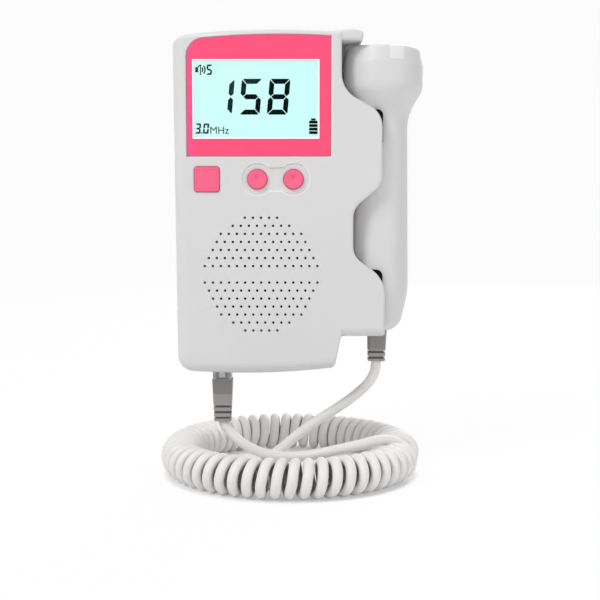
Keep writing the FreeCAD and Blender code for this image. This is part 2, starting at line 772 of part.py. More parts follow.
def speaker_magnet():
    y0 = FRONT_INNER_Y + FIT_GAP + SPEAKER_BASKET_DEPTH
    return front_rod(MAGNET_RADIUS, SPEAKER_X, SPEAKER_Z, y0, y0 + MAGNET_THICKNESS)


def main_board():
    """Circuit board with its larger parts on the back."""
    board = box(BOARD_LEFT_X, BOARD_RIGHT_X, BOARD_FRONT_Y, BOARD_BACK_Y, BOARD_FOOT_Z, BOARD_TOP_Z)
    parts = [box(x0, x1, BOARD_BACK_Y, BOARD_BACK_Y + CHIP_HEIGHT, z0, z1) for x0, x1, z0, z1 in CHIPS]
    for x, z in CAPACITORS:
        parts.append(front_rod(CAPACITOR_RADIUS, x, z, BOARD_BACK_Y, BOARD_BACK_Y + CAPACITOR_HEIGHT))
    board = fuse([board] + parts)
    holes = [front_rod(BOARD_SCREW_RADIUS + FIT_GAP, x, z, -FAR, 0) for x, z in BOARD_POSTS]
    return board.cut(holes)


def board_screws():
    screws = []
    for x, z in BOARD_POSTS:
        head = front_rod(BOARD_SCREW_HEAD, x, z, BOARD_BACK_Y, BOARD_BACK_Y + BOARD_SCREW_CAP)
        shank = front_rod(BOARD_SCREW_RADIUS - SCREW_FIT, x, z, BOARD_FRONT_Y - BOARD_SCREW_BITE,
                          BOARD_BACK_Y)
        screws.append(fuse([head, shank]))
    return Part.Compound(screws)


def button_switches():
    """One small switch on the board behind each button."""
    switches = []
    half = SWITCH_SIZE / 2
    for x in (POWER_X,) + VOLUME_X:
        body = box(x - half, x + half, BOARD_FRONT_Y - SWITCH_HEIGHT, BOARD_FRONT_Y,
                   BUTTON_Z - half, BUTTON_Z + half)
        plunger = front_rod(PLUNGER_RADIUS, x, BUTTON_Z, SWITCH_TOP_Y, BOARD_FRONT_Y)
        switches.append(fuse([body, plunger]))
    return Part.Compound(switches)


# Rear housing, battery bay and cover

def bay_box(grow, y0, y1):
    half_x = BAY_LENGTH / 2 + grow
    half_z = CELL_PITCH / 2 + CELL_RADIUS + CELL_CLEARANCE + grow
    return box(BAY_CENTRE_X - half_x, BAY_CENTRE_X + half_x, y0, y1,
               BAY_CENTRE_Z - half_z, BAY_CENTRE_Z + half_z)


def cover_blank(grow, body):
    """The piece of the back skin that slides off, with a tongue along each side."""
    half = COVER_HALF_WIDTH + grow
    top = COVER_TOP_Z + grow
    skin = box(BAY_CENTRE_X - half, BAY_CENTRE_X + half, -COVER_THICKNESS - grow, 1, -FAR, top)
    wide = half + COVER_TONGUE
    tongue = box(BAY_CENTRE_X - wide, BAY_CENTRE_X + wide, -COVER_THICKNESS - grow,
                 -COVER_THICKNESS + COVER_TONGUE + grow, -FAR, top)
    blank = skin.fuse(tongue)
    return blank.common(body) if body else blank


def battery_cover(body):
    cover = cover_blank(0, body)
    ribs = []
    for i in range(COVER_RIBS):
        z = COVER_TOP_Z - COVER_RIB_DROP - i * COVER_RIB_PITCH
        ribs.append(box(BAY_CENTRE_X - COVER_RIB_HALF, BAY_CENTRE_X + COVER_RIB_HALF, -COVER_RIB_DEPTH, 1,
                        z - COVER_RIB_WIDTH / 2, z + COVER_RIB_WIDTH / 2))
    return cover.cut(ribs)


def rear_housing(body, cavity):
    shell = body.cut(cavity).common(half_space(False))
    inside = cavity.fuse(shell)
    seat_y = -COVER_THICKNESS - COVER_GAP - COVER_SEAT
    root_y = -WALL + ROOT_OVERLAP
    wide = COVER_HALF_WIDTH + COVER_TONGUE + SEAT_REACH
    seat = box(BAY_CENTRE_X - wide, BAY_CENTRE_X + wide, seat_y, root_y, -FAR, COVER_TOP_Z + SEAT_REACH)
    adds = [seat.common(inside), bay_box(BAY_WALL, BAY_FLOOR_Y - BAY_WALL, root_y).common(inside)]
    cuts = [cover_blank(COVER_GAP, None), bay_box(0, BAY_FLOOR_Y, 1), plug_hole(), headphone_hole()]
    for x, z, head in HOUSING_SCREWS:
        adds.append(front_rod(BOSS_RADIUS, x, z, MID_Y, root_y).common(inside))
        cuts.append(front_rod(SCREW_RADIUS + SCREW_HOLE_GAP, x, z, -FAR, 1))
        cuts.append(front_rod(SCREW_HEAD_RADIUS + SCREW_HOLE_GAP, x, z, -head - SCREW_HEAD, 1))
    return shell.multiFuse(adds).cut(cuts)


def housing_screws():
    screws = []
    for x, z, head in HOUSING_SCREWS:
        seat = -head - SCREW_HEAD
        cap = front_rod(SCREW_HEAD_RADIUS, x, z, seat, -head)
        deep = -head - SLOT_DEPTH
        slot = [box(x - SLOT_REACH, x + SLOT_REACH, deep, 0, z - SLOT_WIDTH / 2, z + SLOT_WIDTH / 2),
                box(x - SLOT_WIDTH / 2, x + SLOT_WIDTH / 2, deep, 0, z - SLOT_REACH, z + SLOT_REACH)]
        shank = front_rod(SCREW_RADIUS, x, z, seat - SCREW_LENGTH, seat)
        screws.append(fuse([cap, shank]).cut(slot))
    return Part.Compound(screws)


def battery(upper):
    """One AA cell. The two lie head to tail."""
    z = BAY_CENTRE_Z + (CELL_PITCH / 2 if upper else -CELL_PITCH / 2)
    way = 1 if upper else -1
    nub_end = BAY_CENTRE_X - way * (BAY_LENGTH / 2 - CONTACT_THICKNESS - CONTACT_GAP)
    body_start = nub_end + way * CELL_NUB
    body_end = body_start + way * CELL_LENGTH
    can = side_rod(CELL_RADIUS, min(body_start, body_end), max(body_start, body_end), CELL_Y, z)
    nub = side_rod(CELL_NUB_RADIUS, min(nub_end, body_start), max(nub_end, body_start), CELL_Y, z)
    return fuse([can, nub])


def battery_contacts():
    """A flat plate at each cell's head and a folded leaf spring at its tail."""
    contacts = []
    for way, z in ((1, BAY_CENTRE_Z + CELL_PITCH / 2), (-1, BAY_CENTRE_Z - CELL_PITCH / 2)):
        head = BAY_CENTRE_X - way * BAY_LENGTH / 2
        tail = BAY_CENTRE_X + way * BAY_LENGTH / 2
        plate = [head, head + way * CONTACT_THICKNESS]
        contacts.append(box(min(plate), max(plate), CELL_Y - CONTACT_HALF, CELL_Y + CONTACT_HALF,
                            z - CONTACT_WIDTH / 2, z + CONTACT_WIDTH / 2))
        contacts.append(leaf_spring(tail, way, z))
    return Part.Compound(contacts)


def leaf_spring(wall_x, way, z):
    """A plate on the wall with a leaf folded out of its top, bent so that its crest presses the cell."""
    room = BAY_LENGTH - CONTACT_THICKNESS - CONTACT_GAP - CELL_NUB - CELL_LENGTH
    crest = wall_x - way * (room - FIT_GAP)
    t = way * CONTACT_THICKNESS
    end = CONTACT_HALF
    flat = CREST_HALF
    points = [
        (wall_x, -end), (wall_x, end), (wall_x - t, end), (crest, flat), (crest, -flat),
        (wall_x - 1.6 * t, 2 * flat - end), (wall_x - 2.4 * t, 3 * flat - end), (crest + t, -flat / 2),
        (crest + t, flat / 2), (wall_x - t, end - 2 * flat), (wall_x - t, -end),
    ]
    wire = Part.makePolygon([V(x, CELL_Y + y, z - CONTACT_WIDTH / 2) for x, y in points + points[:1]])
    return Part.Face(wire).extrude(V(0, 0, CONTACT_WIDTH))


# Jacks, plugs and boots

def unit_jack():
    """Jack block above the underside, with a chamber for the plug."""
    foot = BOTTOM_Z + WALL + JACK_LIFT
    block = box(PLUG_X - JACK_WIDTH / 2, PLUG_X + JACK_WIDTH / 2,
                MID_Y - JACK_DEPTH / 2, MID_Y + JACK_DEPTH / 2, foot, foot + JACK_LENGTH)
    grow = PLUG_GAP
    chamber = box(PLUG_X - PLUG_WIDTH / 2 - grow, PLUG_X + PLUG_WIDTH / 2 + grow,
                  MID_Y - PLUG_DEPTH / 2 - grow, MID_Y + PLUG_DEPTH / 2 + grow,
                  -FAR, UNIT_PLUG_TOP + grow)
    return block.cut(chamber)


def plug(x, top):
    """Modular plug: a square body with its latch in front and a row of contact slots at the back."""
    foot = top - PLUG_LENGTH
    front = MID_Y - PLUG_DEPTH / 2
    back = MID_Y + PLUG_DEPTH / 2
    body = box(x - PLUG_WIDTH / 2, x + PLUG_WIDTH / 2, front, back, foot, top)
    slots = []
    for i in range(PLUG_PINS):
        pin_x = x + (i - (PLUG_PINS - 1) / 2) * PIN_PITCH
        slots.append(box(pin_x - PIN_WIDTH / 2, pin_x + PIN_WIDTH / 2, back - PIN_DEPTH, back + 1,
                         top - PIN_LENGTH, top + 1))
    latch = box(x - LATCH_WIDTH / 2, x + LATCH_WIDTH / 2, front - 1, front + LATCH_DEPTH,
                foot + LATCH_FOOT, top - LATCH_FOOT)
    return body.cut(slots + [latch])


def boot(x, top, width, length, ribs):
    """Strain relief that tapers to the cord, with grooves across it."""
    foot = top - length
    upper = square_wire(x, top, width, width - BOOT_FLATTEN)
    lower = square_wire(x, foot, BOOT_TIP, BOOT_TIP - BOOT_FLATTEN)
    body = Part.makeLoft([upper, lower], True, True)
    core = BOOT_TIP / 2 - RIB_DEPTH
    for i in range(ribs):
        z = foot + RIB_FOOT + i * RIB_PITCH
        band = box(x - width, x + width, MID_Y - width, MID_Y + width, z - RIB_WIDTH / 2, z + RIB_WIDTH / 2)
        body = body.cut(band.cut(box(x - core, x + core, MID_Y - core, MID_Y + core, z - 1, z + 1)))
    return body


def square_wire(x, z, width, depth):
    """A rounded rectangle in a level plane."""
    wire = rounded_wire([
        (-width / 2, -depth / 2, BOOT_CORNER), (width / 2, -depth / 2, BOOT_CORNER),
        (width / 2, depth / 2, BOOT_CORNER), (-width / 2, depth / 2, BOOT_CORNER),
    ])
    wire.rotate(V(0, 0, 0), V(1, 0, 0), 90)
    wire.translate(V(x, MID_Y, z))
    return wire


def headphone_jack():
    """3.5 mm socket whose nose reaches through the left side."""
    mouth = left_x(HEADPHONE_Z) + HEADPHONE_SINK
    inner = left_x(HEADPHONE_Z) + WALL + HEADPHONE_SINK
    nose = side_rod(HEADPHONE_NOSE, mouth, inner + WALL, HEADPHONE_Y, HEADPHONE_Z)
    half = HEADPHONE_BODY / 2
    body = box(inner, mouth + HEADPHONE_LENGTH, HEADPHONE_Y - half, HEADPHONE_Y + half,
               HEADPHONE_Z - half, HEADPHONE_Z + half)
    bore = side_rod(HEADPHONE_BORE, -FAR, mouth + HEADPHONE_LENGTH + 1, HEADPHONE_Y, HEADPHONE_Z)
    return fuse([nose, body]).cut(bore)


# Probe

def probe_form(inset):
    """The probe's outer form, or its inner one when inset by a wall."""
    profile = [PROBE_FOOT] + CRADLE_PROFILE + [PROBE_CROWN]
    corners = [(r - inset, z, rounding) for r, z, rounding in profile]
    half = Part.Face(rounded_wire([(0, PROBE_FOOT_Z, 0)] + corners + [(0, PROBE_TOP_Z, 0)]))
    return half.revolve(V(0, 0, 0), V(0, 0, 1), 360)


def upright(radius, z0, z1):
    return Part.makeCylinder(radius, z1 - z0, V(0, 0, z0))


def probe_shells():
    """Two half shells that meet in the middle plane and hold the face between them."""
    outer = probe_form(0)
    hollow = probe_form(PROBE_WALL).common(upright(FAR, PROBE_FOOT_Z + PROBE_WALL, FACE_SEAT_Z))
    shell = outer.cut(hollow).cut(upright(FACE_RADIUS + 0.1, FACE_SEAT_Z, FAR))
    shell = shell.fuse(upright(FAR, FACE_SEAT_Z - FACE_LEDGE, FACE_SEAT_Z).common(outer).cut(
        upright(FACE_RADIUS - FACE_LEDGE, 0, FAR)))
    half = PLUG_WIDTH / 2 + PLUG_HOLE_GAP
    shell = shell.cut(box(-half, half, -half, half, -FAR, PROBE_FOOT_Z + 2 * PROBE_WALL))
    mark = box(MARK_X - MARK_WIDTH / 2, MARK_X + MARK_WIDTH / 2, -FAR, 0, PROBE_TOP_Z - MARK_HEIGHT, FAR)
    front = shell.common(box(-FAR, FAR, -FAR, 0, -FAR, FAR)).cut(mark.cut(probe_form(MARK_DEPTH)))
    rear = shell.common(box(-FAR, FAR, 0, FAR, -FAR, FAR))
    return place_probe(front), place_probe(rear)


def probe_face():
    """Slightly domed acoustic window in the head."""
    edge = V(FACE_RADIUS, 0, PROBE_TOP_Z)
    crown = V(0, 0, PROBE_TOP_Z + FACE_DOME)
    rise = FACE_DOME
    sphere = (FACE_RADIUS ** 2 + rise ** 2) / (2 * rise)
    mid_r = FACE_RADIUS / 2
    middle = V(mid_r, 0, crown.z - sphere + math.sqrt(sphere ** 2 - mid_r ** 2))
    wire = Part.Wire([
        Part.makeLine(V(0, 0, FACE_SEAT_Z), V(FACE_RADIUS, 0, FACE_SEAT_Z)),
        Part.makeLine(V(FACE_RADIUS, 0, FACE_SEAT_Z), edge),
        Part.Arc(edge, middle, crown).toShape(),
        Part.makeLine(crown, V(0, 0, FACE_SEAT_Z)),
    ])
    return place_probe(Part.Face(wire).revolve(V(0, 0, 0), V(0, 0, 1), 360))


def probe_crystals():
    """Five small discs bonded under the face: one in the middle and four round it."""
    discs = [upright(CRYSTAL_RADIUS, FACE_SEAT_Z - CRYSTAL_THICKNESS, FACE_SEAT_Z)]
    for i in range(CRYSTALS_ROUND):
        angle = 2 * math.pi * (i + 0.5) / CRYSTALS_ROUND
        disc = upright(CRYSTAL_RADIUS, FACE_SEAT_Z - CRYSTAL_THICKNESS, FACE_SEAT_Z)
        disc.translate(V(CRYSTAL_RING * math.cos(angle), CRYSTAL_RING * math.sin(angle), 0))
        discs.append(disc)
    return place_probe(Part.Compound(discs))


def probe_board():
    wide, thick, tall = PROBE_BOARD
    foot = PROBE_BOARD_FOOT_Z
    board = box(-wide / 2, wide / 2, -thick / 2, thick / 2, foot, foot + tall)
    chip_wide, chip_thick, chip_tall = PROBE_CHIP
    chip_foot = foot + PROBE_CHIP_FOOT
    chip = box(-chip_wide / 2, chip_wide / 2, -thick / 2 - chip_thick, -thick / 2,
               chip_foot, chip_foot + chip_tall)
    return place_probe(fuse([board, chip]))


def probe_jack():
    half = PROBE_JACK_SIZE / 2
    top = PROBE_BOARD_FOOT_Z
    block = box(-half, half, -half, half, top - PROBE_JACK_LENGTH, top)
    chamber = box(-PLUG_WIDTH / 2 - PLUG_GAP, PLUG_WIDTH / 2 + PLUG_GAP,
                  -PLUG_DEPTH / 2 - PLUG_GAP, PLUG_DEPTH / 2 + PLUG_GAP, -FAR, PROBE_PLUG_TOP + PLUG_GAP)
    return place_probe(block.cut(chamber))


def in_probe(shape):
    """A piece built round x = 0 in the middle plane, moved into the probe's frame and placed."""
    shape.translate(V(0, -MID_Y, 0))
    return place_probe(shape)


# Cord

def cord_tube(points):
    """A plain tube of straight runs and tangent arcs."""
    points = [V(*p) for p in points]
    edges = []
    last = points[0]
    length = 0.0
    for before, here, after in zip(points, points[1:], points[2:]):
        way_in = (before - here).normalize()
        way_out = (after - here).normalize()
        turn = math.pi - way_in.getAngle(way_out)
        reach = 0.45 * min((before - here).Length, (after - here).Length)
        radius = reach / math.tan(turn / 2)
        start = here + way_in * reach
        end = here + way_out * reach
        bisector = (way_in + way_out).normalize()
        middle = here + bisector * (radius / math.cos(turn / 2) - radius)
        edges.append(Part.LineSegment(last, start).toShape())
        edges.append(Part.Arc(start, middle, end).toShape())
        length += (start - last).Length + radius * turn
        last = end
        print("  turn %5.1f radius %6.1f run %5.1f" % (math.degrees(turn), radius, (after - here).Length))
    edges.append(Part.LineSegment(last, points[-1]).toShape())
    length += (points[-1] - last).Length
    path = Part.Wire(edges)
    section = Part.Wire([Part.makeCircle(CORD_DIAMETER / 2, points[0], points[1] - points[0])])
    solid = path.makePipeShell([section], True, False)
    share = solid.Volume / (math.pi * CORD_DIAMETER ** 2 / 4 * length)
    print("cord tail: length %.1f, volume over section times length %.4f" % (length, share))
    return solid


def cord_coil():
    """Outer form of the coiled stretch: a fat tube bent into an open ring on the table."""
    ring = Part.makeTorus(RING_RADIUS, COIL_RADIUS, V(0, 0, 0), V(0, 0, 1), -180, 180, RING_SPAN)
    ring.rotate(V(0, 0, 0), V(0, 0, 1), RING_START)
    ring.translate(RING_CENTRE)
    return ring


def write(name, shape):
    shape.exportStep("parts/%s.step" % name)
    print("%-20s solids %2d volume %10.1f" % (name, len(shape.Solids), shape.Volume))


def main():
    os.makedirs("parts", exist_ok=True)
    body = housing_body()
    cavity = housing_cavity()
    grooved = body.cut(seam(body))
    write("front_housing", front_housing(grooved, cavity))
    write("rear_housing", rear_housing(grooved, cavity))
    write("battery_cover", battery_cover(body))
    write("display_bezel", display_bezel())
    write("display_window", display_window())
    write("lcd_panel", lcd_panel())
    write("lcd_backlight", lcd_backlight())
    write("power_button", power_button())
    write("volume_down_button", volume_button(VOLUME_X[0]))
    write("volume_up_button", volume_button(VOLUME_X[1]))
    write("button_switches", button_switches())
    write("main_board", main_board())
    write("board_screws", board_screws())
    write("speaker_frame", speaker_frame())
    write("speaker_magnet", speaker_magnet())
    write("speaker_cone", speaker_cone())
    write("battery_upper", battery(True))
    write("battery_lower", battery(False))
    write("battery_contacts", battery_contacts())
    write("unit_jack", unit_jack())
    write("headphone_jack", headphone_jack())
    write("housing_screws", housing_screws())
    write("dock_pads", dock_pads())
    front, rear = probe_shells()
    write("probe_shell_front", front)
    write("probe_shell_rear", rear)
    write("probe_face", probe_face())
    write("probe_crystals", probe_crystals())
    write("probe_board", probe_board())
    write("probe_jack", probe_jack())
    write("unit_plug", plug(PLUG_X, UNIT_PLUG_TOP))
    write("unit_plug_boot", boot(PLUG_X, UNIT_BOOT_TOP, UNIT_BOOT_WIDTH, UNIT_BOOT_LENGTH, 3))
    write("probe_plug", in_probe(plug(0, PROBE_PLUG_TOP)))
    probe_boot = boot(0, PROBE_BOOT_TOP, PROBE_BOOT_WIDTH, PROBE_BOOT_LENGTH, 2)
    write("probe_plug_boot", in_probe(probe_boot))
    write("cord_tail_unit", cord_tube(UNIT_TAIL))
    write("cord_coil", cord_coil())
    write("cord_tail_probe", cord_tube(PROBE_TAIL))


main()
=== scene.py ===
import math

import bpy
from mathutils import Matrix, Vector


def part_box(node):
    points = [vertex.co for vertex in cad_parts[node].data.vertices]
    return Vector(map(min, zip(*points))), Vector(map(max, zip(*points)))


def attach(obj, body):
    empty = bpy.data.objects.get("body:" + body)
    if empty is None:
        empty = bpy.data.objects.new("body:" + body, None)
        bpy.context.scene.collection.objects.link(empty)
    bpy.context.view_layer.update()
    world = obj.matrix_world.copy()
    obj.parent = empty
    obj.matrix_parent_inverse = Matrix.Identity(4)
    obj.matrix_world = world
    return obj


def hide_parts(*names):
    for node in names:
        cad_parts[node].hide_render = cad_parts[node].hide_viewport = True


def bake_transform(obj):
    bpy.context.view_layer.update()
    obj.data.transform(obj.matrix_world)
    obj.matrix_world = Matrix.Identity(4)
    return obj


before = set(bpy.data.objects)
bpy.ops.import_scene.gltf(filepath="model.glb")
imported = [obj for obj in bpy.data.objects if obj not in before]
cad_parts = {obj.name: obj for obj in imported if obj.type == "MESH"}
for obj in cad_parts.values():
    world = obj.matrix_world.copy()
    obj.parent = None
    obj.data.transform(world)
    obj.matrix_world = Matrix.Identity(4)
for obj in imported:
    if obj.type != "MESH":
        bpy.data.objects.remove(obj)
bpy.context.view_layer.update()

bl_info = {
    "name": "Fetal doppler monitor",
    "version": (1, 0, 0),
    "blender": (4, 5, 0),
    "location": "3D View > Sidebar > Doppler",
    "description": "Finishes, display readout, curly cord and studio of a fetal doppler monitor",
    "category": "Object",
}

MM = 0.001
UP = Vector((0, 0, 1))

# Route of the cord in metres: from the housing's plug to the coil, and from the probe's plug to it
UNIT_TAIL = [
    (-0.0151, -0.0160, -0.0886),
    (-0.0130, -0.0169, -0.0927),
    (-0.0091, -0.0193, -0.0960),
    (-0.0042, -0.0236, -0.0983),
    (0.0009, -0.0292, -0.0993),
    (0.0062, -0.0350, -0.0994),
    (0.0120, -0.0402, -0.0987),
    (0.0186, -0.0440, -0.0974),
    (0.0256, -0.0456, -0.0958),
    (0.0328, -0.0450, -0.0943),
    (0.0400, -0.0426, -0.0932),
    (0.0465, -0.0386, -0.0923),
    (0.0516, -0.0352, -0.0926),
    (0.0564, -0.0330, -0.0950),
]
PROBE_TAIL = [
    (0.04768, -0.0160, -0.06382),
    (0.04763, -0.0160, -0.0666),
    (0.0467, -0.0160, -0.0699),
    (0.0446, -0.0160, -0.0733),
    (0.0409, -0.0160, -0.0768),
    (0.0362, -0.0162, -0.0805),
    (0.0312, -0.0167, -0.0838),
    (0.0264, -0.0174, -0.0867),
    (0.0216, -0.0185, -0.0896),
    (0.0170, -0.0199, -0.0927),
    (0.0130, -0.0214, -0.0957),
    (0.0084, -0.0236, -0.0993),
    (0.0030, -0.0257, -0.1028),
    (-0.0025, -0.0306, -0.1051),
    (-0.0049, -0.0378, -0.1063),
    (-0.0031, -0.0450, -0.1068),
    (0.0023, -0.0505, -0.1068),
    (0.0096, -0.0526, -0.1068),
    (0.0166, -0.0512, -0.1068),
    (0.0244, -0.0488, -0.1068),
    (0.0322, -0.0456, -0.1068),
    (0.0392, -0.0426, -0.1068),
    (0.0446, -0.0382, -0.1068),
    (0.0482, -0.0324, -0.1068),
    (0.0506, -0.0266, -0.1068),
    (0.0538, -0.0230, -0.1068),
    (0.0582, -0.0223, -0.1068),
]


def linear(red, green, blue):
    """A display colour of 0 to 255 as the linear colour that shaders take."""
    def channel(value):
        share = value / 255
        return share / 12.92 if share <= 0.04045 else ((share + 0.055) / 1.055) ** 2.4
    return (channel(red), channel(green), channel(blue))


# Settings

def colour_property(name, description, default):
    return bpy.props.FloatVectorProperty(
        name=name, description=description, subtype="COLOR", size=3, min=0, max=1, default=default)


class DopplerColours(bpy.types.PropertyGroup):
    """Colours of the visible finishes."""
    housing: colour_property("Housing", "Moulded housing and probe", linear(219, 218, 218))
    trim: colour_property("Trim", "Trim round the display", linear(252, 76, 122))
    buttons: colour_property("Buttons", "Three push buttons", linear(250, 100, 138))
    display: colour_property("Display", "Lit background of the display", linear(200, 249, 247))
    ink: colour_property("Readout", "Dark segments of the display", linear(4, 12, 16))
    boots: colour_property("Boots", "Strain reliefs on the cord", linear(158, 156, 155))
    plugs: colour_property("Plugs", "Modular plugs", linear(176, 175, 176))
    cord: colour_property("Cord", "Jacket of the cord", linear(238, 236, 235))


class DopplerCord(bpy.types.PropertyGroup):
    """Sizes of the curly cord."""
    diameter: bpy.props.FloatProperty(
        name="Diameter", description="Outside of the cord's jacket", unit="LENGTH", default=4.1 * MM)
    turns: bpy.props.FloatProperty(
        name="Turns", description="Turns in the coiled stretch", default=54.0)
    length: bpy.props.FloatProperty(
        name="Length", description="Length of the whole cord, uncoiled", unit="LENGTH", default=2.189)


class DopplerReadout(bpy.types.PropertyGroup):
    """Sizes of the display's readout."""
    reading: bpy.props.StringProperty(
        name="Reading", description="Heart rate in the large digits", default="158")
    digit_height: bpy.props.FloatProperty(
        name="Digit height", description="Height of the large digits", unit="LENGTH", default=13.8 * MM)
    digit_width: bpy.props.FloatProperty(
        name="Digit width", description="Width of the large digits", unit="LENGTH", default=8.1 * MM)
    digit_pitch: bpy.props.FloatProperty(
        name="Digit pitch", description="From one large digit to the next", unit="LENGTH",
        default=10.85 * MM)
    stroke: bpy.props.FloatProperty(
        name="Stroke", description="Width of a large segment", unit="LENGTH", default=1.95 * MM)
    slant: bpy.props.FloatProperty(
        name="Slant", description="Lean of the digits to the right, as run over rise", default=0.09)


class DopplerStudio(bpy.types.PropertyGroup):
    """Camera and light."""
    distance: bpy.props.FloatProperty(
        name="Distance", description="From the back face to the camera", unit="LENGTH", default=0.482)
    height: bpy.props.FloatProperty(
        name="Height", description="Camera above the housing's middle", unit="LENGTH", default=0.0015)
    aside: bpy.props.FloatProperty(
        name="Aside", description="Camera to the right of the housing's middle", unit="LENGTH",
        default=0.01656)
    tilt: bpy.props.FloatProperty(
        name="Tilt", description="How far the camera looks down", unit="ROTATION",
        default=math.radians(4.975))
    lens: bpy.props.FloatProperty(
        name="Lens", description="Focal length in millimetres on a 36 mm sensor", default=68.86)
    world: bpy.props.FloatProperty(
        name="World", description="Strength of the even light from all round", default=0.44)
    key: bpy.props.FloatProperty(
        name="Key", description="Power of the main lamp in watts", default=6.1)
    fill: bpy.props.FloatProperty(
        name="Fill", description="Power of the fill lamp in watts", default=1.7)
    top: bpy.props.FloatProperty(
        name="Top", description="Power of the overhead lamp in watts", default=1.8)
    rear: bpy.props.FloatProperty(
        name="Rear", description="Power of the lamp behind in watts", default=3.2)


# Shaders

# Shares by which a tone drifts and a moulded or brushed surface's roughness varies
DRIFT = 0.03
SHEEN_SPREAD = 0.12
BRUSH_SPREAD = 0.2
BRUSH_BELOW = 0.08


class Value:
    """A number that varies over a surface: a socket with the arithmetic of a plain number."""

    def __init__(self, shading, socket):
        self.shading = shading
        self.socket = socket

    def maths(self, operation, first, second):
        node = self.shading.node("ShaderNodeMath", {"operation": operation}, {0: first, 1: second})
        return Value(self.shading, node.outputs[0])

    def __add__(self, other):
        return self.maths("ADD", self, other)

    def __radd__(self, other):
        return self.maths("ADD", other, self)

    def __sub__(self, other):
        return self.maths("SUBTRACT", self, other)

    def __rsub__(self, other):
        return self.maths("SUBTRACT", other, self)

    def __mul__(self, other):
        return self.maths("MULTIPLY", self, other)

    def __rmul__(self, other):
        return self.maths("MULTIPLY", other, self)

    def __pow__(self, other):
        return self.maths("POWER", self, other)

    def __abs__(self):
        return self.maths("ABSOLUTE", self, 0)

    def __gt__(self, other):
        return self.maths("GREATER_THAN", self, other)

    def __lt__(self, other):
        return self.maths("LESS_THAN", self, other)

    def lesser(self, other):
        return self.maths("MINIMUM", self, other)

    def greater(self, other):
        return self.maths("MAXIMUM", self, other)


class Shading:
    """The nodes of a material or of the world, all made and linked in one way."""

    def __init__(self, tree):
        self.tree = tree

    def node(self, kind, settings=None, values=None):
        """A node with its settings made first, then the values or links of its sockets."""
        made = self.tree.nodes.new(kind)
        for name, setting in (settings or {}).items():
            setattr(made, name, setting)
        for name, value in (values or {}).items():
            self.feed(made.inputs[name], value)
        return made

    def feed(self, socket, value):
        """Links a socket to what varies, or sets it to a plain value."""
        if isinstance(value, Value):
            self.tree.links.new(socket, value.socket)
        elif isinstance(value, bpy.types.NodeSocket):
            self.tree.links.new(socket, value)
        else:
            socket.default_value = value

    def seen(self):
        """A share of 1 where the camera sees something straight, in a mirror or through glass."""
        ray = self.node("ShaderNodeLightPath").outputs
        kinds = ("Is Camera Ray", "Is Glossy Ray", "Is Transmission Ray")
        return sum(Value(self, ray[kind]) for kind in kinds)


class Finish(Shading):
    """A material with one principled shader, whose colour, roughness and bump vary over the surface."""

    def __init__(self, name, colour, roughness, **uniform):
        self.material = bpy.data.materials.new(name)
        self.material.use_nodes = True
        super().__init__(self.material.node_tree)
        self.shader = self.tree.nodes["Principled BSDF"]
        self.shader.inputs["Base Color"].default_value = (*colour, 1)
        self.shader.inputs["Roughness"].default_value = roughness
        for socket, value in uniform.items():
            self.shader.inputs[socket.replace("_", " ")].default_value = value
        self.place = self.node("ShaderNodeTexCoord").outputs["Object"]

    def along(self):
        """The three numbers of a place on the object."""
        parts = self.node("ShaderNodeSeparateXYZ", None, {0: self.place}).outputs
        return [Value(self, part) for part in parts]

    def noise(self, grain, detail=2.0, roughness=0.5, place=None):
        """Soft noise whose grains are about this many metres across."""
        node = self.node("ShaderNodeTexNoise", None, {
            "Vector": place or self.place, "Scale": 1 / grain, "Detail": detail, "Roughness": roughness})
        return Value(self, node.outputs["Fac"])

    def slope(self, value, start, end):
        """A share that eases from 0 to 1 between two values."""
        node = self.node("ShaderNodeMapRange", {"interpolation_type": "SMOOTHSTEP"},
                         {0: value, 1: start, 2: end, 3: 0.0, 4: 1.0})
        return Value(self, node.outputs[0])

    def blend(self, share, low, high):
        """A colour between two, by a share that varies."""
        tones = [tone if isinstance(tone, bpy.types.NodeSocket) else (*tone, 1) for tone in (low, high)]
        node = self.node("ShaderNodeMix", {"data_type": "RGBA"}, {0: share, 6: tones[0], 7: tones[1]})
        return node.outputs[2]

    def clouded(self, tone, drift):
        """A tone that drifts faintly darker and lighter over the part."""
        return self.blend(self.noise(0.045, 3.0), shade(tone, 1 - drift), shade(tone, 1 + drift))

    def colour(self, socket):
        self.feed(self.shader.inputs["Base Color"], socket)

    def rough(self, value):
        self.feed(self.shader.inputs["Roughness"], value)

    def bump(self, height, depth):
        """Relief: a height of 0 to 1 over this depth in metres."""
        node = self.node("ShaderNodeBump", None, {"Height": height, "Distance": depth, "Strength": 1.0})
        self.feed(self.shader.inputs["Normal"], node.outputs["Normal"])


def inside(value, low, high):
    """A mask of 1 where a value is between two limits."""
    return (value > low) * (value < high)


def span(*runs):
    """The straight distance over runs that stand at right angles."""
    return sum(run * run for run in runs) ** 0.5


def eased_inside(value, low, high, edge):
    """A mask of 1 between two limits that fades out over an edge inside them."""
    slope = value.shading.slope
    return slope(value, low, low + edge) * slope(value, high, high - edge)


def shade(tone, share):
    """A colour made lighter or darker by a share."""
    return tuple(min(1.0, c * share) for c in tone)


def moulded(name, tone, roughness=0.42, spark=0.00016, depth=0.000006, drift=DRIFT, **uniform):
    """Moulded plastic: a fine spark-eroded grain, and a faint drift of tone where that isn't 0."""
    finish = Finish(name, tone, roughness, **uniform)
    if drift:
        finish.colour(finish.clouded(tone, drift))
    finish.rough(roughness - SHEEN_SPREAD / 2 + SHEEN_SPREAD * finish.noise(0.008, 4.0, 0.6))
    finish.bump(finish.noise(spark, 2.0, 0.6), depth)
    return finish


